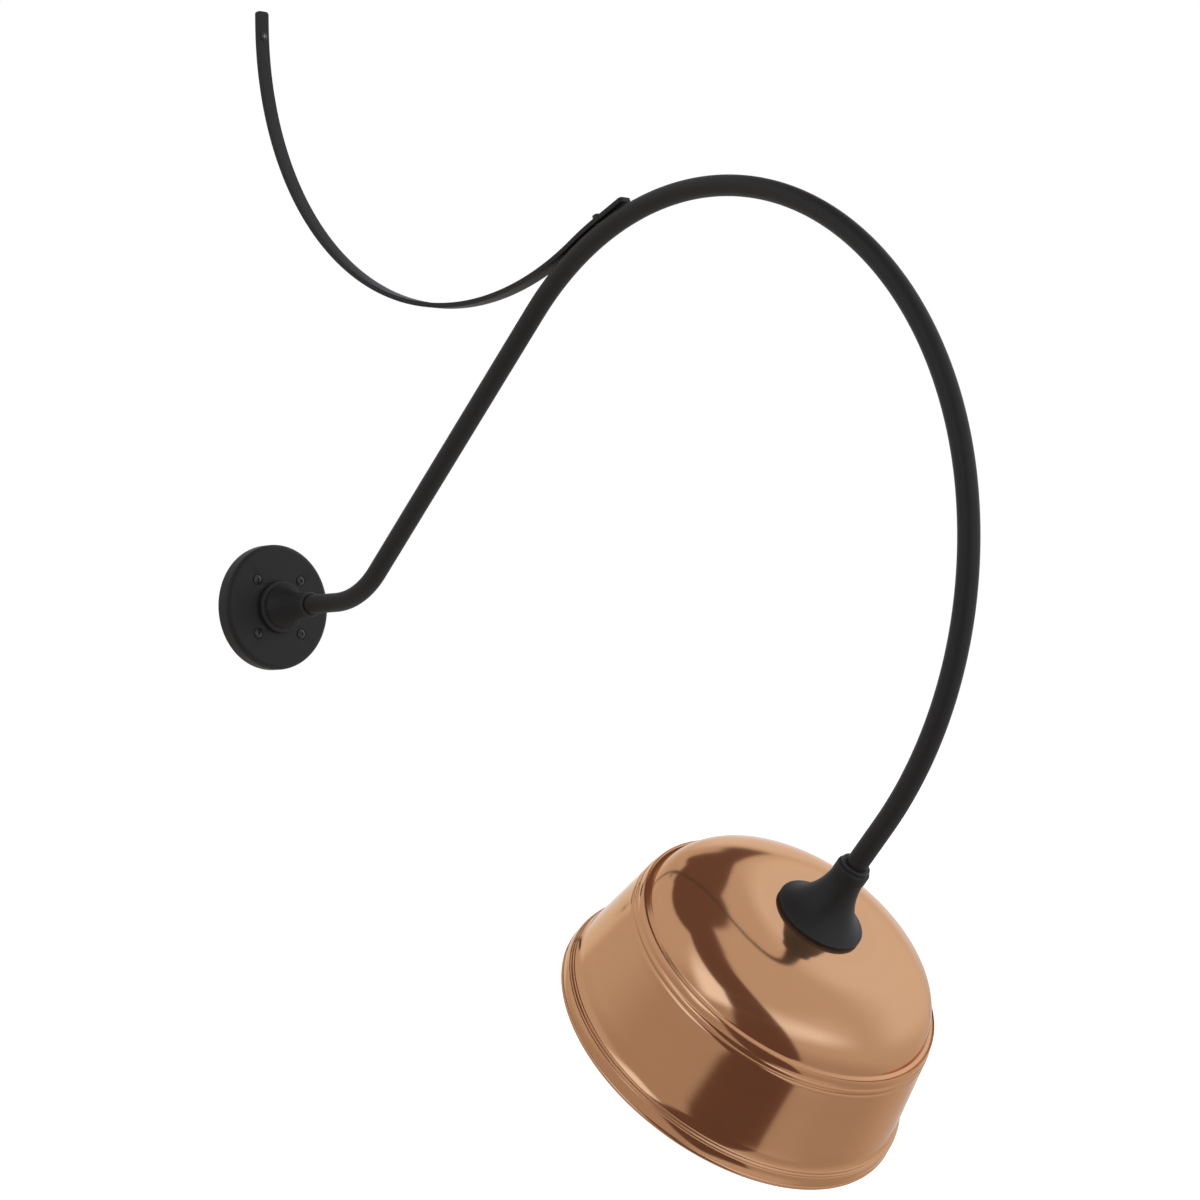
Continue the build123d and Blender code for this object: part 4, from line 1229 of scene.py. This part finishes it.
def make_holder(now):
    """Pressed cap, glazed barrel and rolled screw shell."""
    lamp, at = now.lamp, holder_heights(now)
    r, n, s, t = lamp.body_r, lamp.nipple_r, lamp.shell_r, lamp.shell_t
    step, wide, mouth = at.body_low + 6, r + 1.6, s + 1.6
    line = Outline(n, at.cap_top).to((8.6, at.cap_top), (8.6, at.cap_top - 9))
    line.through((17.6, at.cap_top - 12.2), (r + 1.4, at.cap_top - 18), steps=12)
    line.to((r + 1.4, at.cap_low), (r, at.cap_low), (r, at.body_top - 4), (r - 4, at.body_top), (n, at.body_top))
    piece = on_lamp_axis(now, "lampholder_cap_pressed", line, plated_steel(now), segments=96, soften=0.3)
    ridden(piece, FIXED, "zinc_steel", "lampholder_cap")
    line = Outline(n + 2, at.body_top).to((r - 4, at.body_top), (r, at.body_top - 4), (r, at.cap_low - 1),
                                          (wide, at.cap_low - 1), (wide, at.body_low + 3))
    line.about((r - 1.4, at.body_low + 3), -pi / 2)
    line.to((mouth, at.body_low), (mouth, step), (s, step), (s, at.shell_top), (1.6, at.shell_top),
            (1.6, at.body_top - 6), (n + 2, at.body_top - 6))
    piece = on_lamp_axis(now, "lampholder_body_glazed", line, glazed_ceramic(now), segments=128, soften=0.7)
    ridden(piece, FIXED, "white_ceramic", "lampholder_body")
    line = Outline(s, step).fine(s, at.shell_top)
    line.to((8.0, at.shell_top), (8.0, at.shell_top - t), (s - t, at.shell_top - t)).fine(s - t, step)
    nickel = plated_steel(now, "Nickel-plated shell", now.finish.nickel, 0.22, 0.0004, rim_centre(now),
                          now.shade.lean)
    piece = on_lamp_axis(now, "lampholder_shell_rolled", line, nickel, segments=96, soften=0.1,
                         thread_pitch=lamp.pitch, thread_depth=-0.7, thread_low=step + 1,
                         thread_high=at.shell_top - 1)
    ridden(piece, FIXED, "nickel_shell", "lampholder_shell")


def glass_line(now, inside):
    """Half outline of the lamp's glass from the tip up, this far inside its outer surface."""
    at, r = holder_heights(now), now.lamp.bulb_r - inside
    neck = at.cap_r - 0.6 - inside
    line = Outline(0, at.ball - r).about((0, at.ball), pi / 2 + GLASS_SIDE, 44)
    return line.bend(neck, at.lamp_cap_low, steps=24).to((neck, at.lamp_cap_low + 6))


def make_lamp(now):
    """Glass, rolled cap and drawn stem, then the filament."""
    lamp, at = now.lamp, holder_heights(now)
    line = glass_line(now, 0)
    line.points += glass_line(now, lamp.glass_t).points[::-1]
    glass = clear_glass("Bulb glass", (0.985, 0.99, 0.985))
    piece = on_lamp_axis(now, "bulb_glass_blown", line, glass, segments=128, soften=0.2, closed=False)
    ridden(piece, LAMP, "bulb_glass", "bulb_glass")
    r, low, top, wall = at.cap_r, at.lamp_cap_low, at.lamp_top - 4.0, 0.6
    line = Outline(r, low).fine(r, top - 2)
    line.to((r - 2.4, top), (5.0, top), (5.0, top - 0.5), (r - 2.8, top - 0.5), (r - wall, top - 2.4))
    line.fine(r - wall, low)
    nickel = plated_steel(now, "Lamp cap", now.finish.nickel, 0.28, 0.0004, rim_centre(now), now.shade.lean)
    piece = on_lamp_axis(now, "bulb_cap_rolled", line, nickel, segments=96, soften=0.1, thread_pitch=lamp.pitch,
                         thread_depth=0.55, thread_low=low + 3, thread_high=top - 1)
    ridden(piece, LAMP, "nickel_shell", "bulb_cap")
    stem_top, stem_low, neck = low + 6, at.ball + 12, r - 0.6 - lamp.glass_t
    line = Outline(0, stem_top).to((neck, stem_top), (neck, stem_top - 0.8))
    line.through((5.4, stem_top - 4.5), (3.4, stem_top - 14), steps=12).to((1.8, stem_top - 22))
    line.bend(2.3, stem_low + 2, way=(0, -1), steps=4).bend(0, stem_low, steps=8)
    glass = clear_glass("Stem glass", (0.93, 0.96, 0.95))
    piece = on_lamp_axis(now, "bulb_stem_drawn", line, glass, segments=48, soften=0.3, closed=False)
    ridden(piece, LAMP, "bulb_glass", "bulb_stem")
    make_filament(now, at)


def make_filament(now, at):
    """Coil between two splayed leads, with two fine supports from the stem's tip."""
    level, reach, sag = at.ball - 2.0, 13.6, 1.6
    wire = plated_steel(now, "Filament wire", (0.33, 0.32, 0.31), 0.4, 0.0002)

    def bent(name, line, points, tree, values):
        return made_by_nodes(name, poly_curve(line, points), tree, {
            "Material": wire, "Place": rim_centre(now), "Turn": (0.0, now.shade.lean, 0.0), **values})

    spots = [(-reach + 2 * reach * i / 40, 0, level - sag * sin(pi * i / 40)) for i in range(41)]
    coil = bent("bulb_filament_coil", "coil_line", spots, coil_tree(), {
        "Turns": now.lamp.coil_turns, "Coil Radius": 0.42 * MM, "Wire Radius": 0.11 * MM})
    ridden(coil, LAMP, "filament_wire", "bulb_filament")
    for number, side in enumerate((-1, 1)):
        start, end = Vector((side * 1.6, 0, at.ball + 13)), Vector((side * reach, 0, level))
        elbow = Vector((side * 4.2, 0, at.ball + 7))
        lead = [tuple(start.lerp(elbow, i / 12).lerp(elbow.lerp(end, i / 12), i / 12)) for i in range(13)]
        hook = [(side * 0.8, 0, at.ball + 12.5), (side * 2.5, 0.6, at.ball + 6), (side * 4.6, 0.2, level - 0.2),
                (side * 4.6, -0.5, level - 1.9)]
        for kind, line, radius, sides in (("lead", lead, 0.35, 10), ("support", hook, 0.14, 8)):
            piece = bent(f"bulb_{kind}_{number + 1}", kind + "_line", line, tube_tree(), {
                "Radius": radius * MM, "Sides": sides, "Step": WIRE_STEP * MM, "Closed Ends": True})
            ridden(piece, LAMP, "filament_wire")


def finish_small_parts(now):
    """Materials for the fasteners and linings that keep their own shape."""
    for material, nodes in (
            (plated_steel(now), "hub_nipple hub_washer hub_locknut brace_rivet_nut arm_end_bushing lamp_nipple "
                                "shade_washer shade_locknut"),
            (plated_steel(now, "Sprung brass", now.finish.brass, 0.28),
             "lampholder_contact lampholder_screws terminal_screws"),
            (plated_steel(now, "Green earth screw", (0.03, 0.22, 0.06), 0.35, metal=0.0), "earth_screw"),
            (plated_steel(now, "Black cap glass", (0.012, 0.012, 0.014), 0.12, metal=0.0), "bulb_insulator"),
            (plated_steel(now, "Solder", (0.58, 0.58, 0.60), 0.38), "bulb_contact"),
            (seal_rubber(), "wall_gasket"),
            (black_screw(now), "hub_set_screw fitter_set_screw")):
        for node in nodes.split():
            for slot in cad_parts[node].material_slots:
                slot.material = material


# ---- stage ------------------------------------------------------------------------------------------
# The numbers of a card, in degrees: its borders, how far the two upright ones lean, and its soft edges.
CARD_NUMBERS = {
    "West": -10.0, "East": 10.0, "Low": -10.0, "High": 10.0, "West Lean": 0.0, "East Lean": 0.0,
    "West Edge": 2.0, "East Edge": 2.0, "Low Edge": 2.0, "High Edge": 2.0}


@made_once("node_groups", "Studio card")
def card_group(name):
    """How far a direction, in degrees of longitude and latitude, lies on a leaning card with soft edges."""
    tree, given, give = new_group("ShaderNodeTree", name, [
        (FLOAT, key, value) for key, value in {"Longitude": 0.0, "Latitude": 0.0, **CARD_NUMBERS}.items()],
        [(FLOAT, "Share")])
    lon, lat = given["Longitude"], given["Latitude"]

    def ramp(value, edge):
        soft = given[edge + " Edge"]
        return add(tree, "ShaderNodeMapRange", {0: value, 1: soft * -1.0, 2: soft},
                   interpolation_type="SMOOTHSTEP")

    west = ramp(lon - (given["West"] + lat * given["West Lean"]), "West")
    east = ramp(given["East"] + lat * given["East Lean"] - lon, "East")
    give(Share=west * east * (ramp(lat - given["Low"], "Low") * ramp(given["High"] - lat, "High")))
    return tree


STUDIO_WALL = (0.80, 0.80, 0.80)
SHADE_TINT = (0.15, 0.08, 0.062)
# Each card: its colour, laid over what lies behind it, then its numbers in the order above.
STUDIO_CARDS = [
    ("low_wall", (0.60, 0.57, 0.54), (-180, 180, -66, -34), (0, 0), (5, 5, 8, 14)),
    ("north_wall", (1.08, 1.18, 1.30), (50, 104, -4, 52), (0, 0), (16, 8, 16, 8)),
    ("north_box", (1.15, 1.28, 1.45), (106, 142, 6, 40), (0, 0), (8, 8, 10, 4)),
    ("far_wall", (1.08, 1.20, 1.25), (140, 178, -2, 26), (0, 0), (10, 6, 10, 14)),
    ("west_wall", (0.60, 0.56, 0.52), (-175, -70, -42, 12), (0, 0), (14, 4, 14, 14)),
    ("west_box", (1.42, 1.70, 2.05), (-92, -60, -2, 38), (0, 0), (9, 3, 6, 20)),
    ("east_box", (1.34, 1.58, 1.90), (-30, 18, -10, 14), (0, 0), (3, 20, 10, 14)),
    ("ceiling", SHADE_TINT, (-200, -34, 58.5, 95), (0, 0), (3, 3, 1.5, 8)),
    ("ceiling_top", SHADE_TINT, (-200, 200, 75, 95), (0, 0), (3, 3, 2, 8)),
    ("ceiling_north", SHADE_TINT, (175, 150, 48.5, 95), (-1.2, 0), (1.5, 3, 1.5, 8)),
    ("ceiling_west", SHADE_TINT, (146, 202, 56, 95), (0, 0), (3, 3, 1.5, 8)),
    ("ceiling_tip", SHADE_TINT, (109, 128, 41.5, 56), (0, 0), (1.5, 4, 1.5, 3)),
    ("gap_high", SHADE_TINT, (-50, -24.5, 19, 95), (-0.72, -0.18), (1.5, 1.2, 0.5, 8)),
    ("gap_middle", SHADE_TINT, (-63, -24.5, 0, 19), (0, -0.18), (1.5, 1.2, 0.5, 0.5)),
    ("gap_low", SHADE_TINT, (-64, -24, -66, 0), (0.38, -0.12), (4, 1.5, 5, 0.5)),
]


def light_studio(now):
    """White to the camera, and a bright room with a dark gap behind the camera to every surface."""
    world = bpy.data.worlds.new("Studio")
    bpy.context.scene.world = world
    world.use_nodes = True
    tree = world.node_tree
    tree.nodes.clear()
    x, y, z = split(add(tree, "ShaderNodeTexCoord", out="Generated"))
    seen_at = {"Longitude": y.maths("ARCTAN2", x) * (180 / pi), "Latitude": z.maths("ARCSINE") * (180 / pi)}
    light = rgba(STUDIO_WALL)
    for name, tint, *numbers in STUDIO_CARDS:
        card = add(tree, "ShaderNodeGroup", {**seen_at, **dict(zip(CARD_NUMBERS, sum(numbers, ())))},
                   node_tree=card_group(), label=name)
        light = blend(tree, card, light, (*tint, 1))
    room = add(tree, "ShaderNodeBackground", {0: light, 1: now.stage.studio})
    paper = add(tree, "ShaderNodeBackground", {0: (1, 1, 1, 1), 1: 1.0})
    to_camera = add(tree, "ShaderNodeLightPath", out="Is Camera Ray")
    add(tree, "ShaderNodeOutputWorld", {0: add(tree, "ShaderNodeMixShader", {0: to_camera, 1: room, 2: paper})})


def lay_floor(now):
    """Large pale floor, with a faint grain, that doesn't darken the copper's mirror image of the room."""
    drop = -now.stage.floor_drop * MM
    corners = [(x * FLOOR_HALF, y * FLOOR_HALF, drop) for x, y in ((-1, -1), (1, -1), (1, 1), (-1, 1))]
    mesh = bpy.data.meshes.new("floor")
    mesh.from_pydata(corners, [], [(0, 1, 2, 3)])
    floor = put_in_scene("floor", mesh)
    tree, feed = new_finish("Pale floor", Roughness=0.7, Emission_Strength=0.55, Emission_Color=(1, 1, 1, 1))
    grain = noise(on_object(tree), 3.0, 4.0)
    mesh.materials.append(feed(Base_Color=blend(tree, grain, (0.9, 0.9, 0.9, 1), (0.94, 0.94, 0.94, 1))))
    floor.visible_glossy = floor.visible_diffuse = False


def place_camera(now):
    """The photograph's view point, measured from the solids' known sizes."""
    stage = now.stage
    a, e, c, s = stage.azimuth, stage.pitch, cos(stage.roll), sin(stage.roll)
    ahead = Vector((-sin(a) * cos(e), cos(a) * cos(e), sin(e)))
    right = Vector((cos(a), sin(a), 0))
    up = right.cross(ahead)
    right, up = c * right + s * up, c * up - s * right
    camera = put_in_scene("camera", bpy.data.cameras.new("camera"))
    camera.data.sensor_width = SENSOR_WIDTH
    camera.data.lens = stage.lens
    camera.data.clip_end = 1000
    turn = Matrix((right, up, -ahead)).transposed().to_4x4()
    camera.matrix_world = Matrix.Translation(VIEW_POINT) @ turn
    bpy.context.scene.camera = camera
    bpy.context.scene.view_settings.view_transform = "Standard"


def set_stage(now):
    light_studio(now)
    lay_floor(now)
    place_camera(now)


# ---- operators and panel -----------------------------------------------------------------------------
class SCONCE_OT_arm(bpy.types.Operator):
    """Bend the tube arm"""

    bl_idname = "sconce.bend_arm"
    bl_label = "Bend the arm"
    bl_options = {"REGISTER", "UNDO"}

    def execute(self, context):
        bend_arm(settings())
        return {"FINISHED"}


class SCONCE_OT_strap(bpy.types.Operator):
    """Bend the flat brace strap"""

    bl_idname = "sconce.bend_strap"
    bl_label = "Bend the strap"
    bl_options = {"REGISTER", "UNDO"}

    def execute(self, context):
        bend_strap(settings())
        return {"FINISHED"}


class SCONCE_OT_plate(bpy.types.Operator):
    """Turn the wall plate and sink its screw seats"""

    bl_idname = "sconce.turn_plate"
    bl_label = "Turn the wall plate"
    bl_options = {"REGISTER", "UNDO"}

    def execute(self, context):
        turn_wall_plate(settings())
        return {"FINISHED"}


class SCONCE_OT_hub(bpy.types.Operator):
    """Turn the hub that carries the arm"""

    bl_idname = "sconce.turn_hub"
    bl_label = "Turn the hub"
    bl_options = {"REGISTER", "UNDO"}

    def execute(self, context):
        turn_hub(settings())
        return {"FINISHED"}


class SCONCE_OT_fitter(bpy.types.Operator):
    """Turn the bell and the ring of the shade fitter"""

    bl_idname = "sconce.turn_fitter"
    bl_label = "Turn the fitter"
    bl_options = {"REGISTER", "UNDO"}

    def execute(self, context):
        turn_fitter(settings())
        return {"FINISHED"}


class SCONCE_OT_shade(bpy.types.Operator):
    """Spin the copper shade"""

    bl_idname = "sconce.spin_shade"
    bl_label = "Spin the shade"
    bl_options = {"REGISTER", "UNDO"}

    def execute(self, context):
        spin_shade(settings())
        return {"FINISHED"}


class SCONCE_OT_screws(bpy.types.Operator):
    """Drive the wall screws and the strap's two screws"""

    bl_idname = "sconce.drive_screws"
    bl_label = "Drive the screws"
    bl_options = {"REGISTER", "UNDO"}

    def execute(self, context):
        drive_screws(settings())
        return {"FINISHED"}


class SCONCE_OT_holder(bpy.types.Operator):
    """Make the lampholder"""

    bl_idname = "sconce.make_holder"
    bl_label = "Make the lampholder"
    bl_options = {"REGISTER", "UNDO"}

    def execute(self, context):
        make_holder(settings())
        return {"FINISHED"}


class SCONCE_OT_lamp(bpy.types.Operator):
    """Make the lamp with its glass, cap and filament"""

    bl_idname = "sconce.make_lamp"
    bl_label = "Make the lamp"
    bl_options = {"REGISTER", "UNDO"}

    def execute(self, context):
        make_lamp(settings())
        return {"FINISHED"}


class SCONCE_OT_small_parts(bpy.types.Operator):
    """Finish the small parts that keep their own shape"""

    bl_idname = "sconce.finish_small_parts"
    bl_label = "Finish the small parts"
    bl_options = {"REGISTER", "UNDO"}

    def execute(self, context):
        finish_small_parts(settings())
        return {"FINISHED"}


class SCONCE_OT_stage(bpy.types.Operator):
    """Set up floor, studio light and camera"""

    bl_idname = "sconce.set_stage"
    bl_label = "Set the stage"
    bl_options = {"REGISTER", "UNDO"}

    def execute(self, context):
        set_stage(settings())
        return {"FINISHED"}


OPERATORS = (SCONCE_OT_stage, SCONCE_OT_plate, SCONCE_OT_hub, SCONCE_OT_arm, SCONCE_OT_strap, SCONCE_OT_screws,
             SCONCE_OT_fitter, SCONCE_OT_shade, SCONCE_OT_holder, SCONCE_OT_lamp, SCONCE_OT_small_parts)


class SCONCE_PT_panel(bpy.types.Panel):
    """Steps and sizes of the sconce"""

    bl_idname = "SCONCE_PT_panel"
    bl_label = "Gooseneck wall sconce"
    bl_space_type = "VIEW_3D"
    bl_region_type = "UI"
    bl_category = "Sconce"

    def draw(self, context):
        for operator in OPERATORS:
            self.layout.operator(operator.bl_idname)
        kept = context.scene.sconce
        for name in GROUPS:
            box = self.layout.box()
            box.label(text=name.title())
            group = getattr(kept, name)
            for prop in own_properties(group):
                box.prop(group, prop.identifier)


CLASSES = (SconceArmSettings, SconcePlateSettings, SconceShadeSettings, SconceLampSettings, SconceFinishSettings,
           SconceStageSettings, SconceSettings, *OPERATORS, SCONCE_PT_panel)


def register():
    for cls in CLASSES:
        bpy.utils.register_class(cls)
    bpy.types.Scene.sconce = PointerProperty(type=SconceSettings)


def unregister():
    del bpy.types.Scene.sconce
    for cls in reversed(CLASSES):
        bpy.utils.unregister_class(cls)


def main():
    register()
    for operator in OPERATORS:
        group, step = operator.bl_idname.split(".")
        getattr(getattr(bpy.ops, group), step)()


if __name__ == "__main__":
    main()
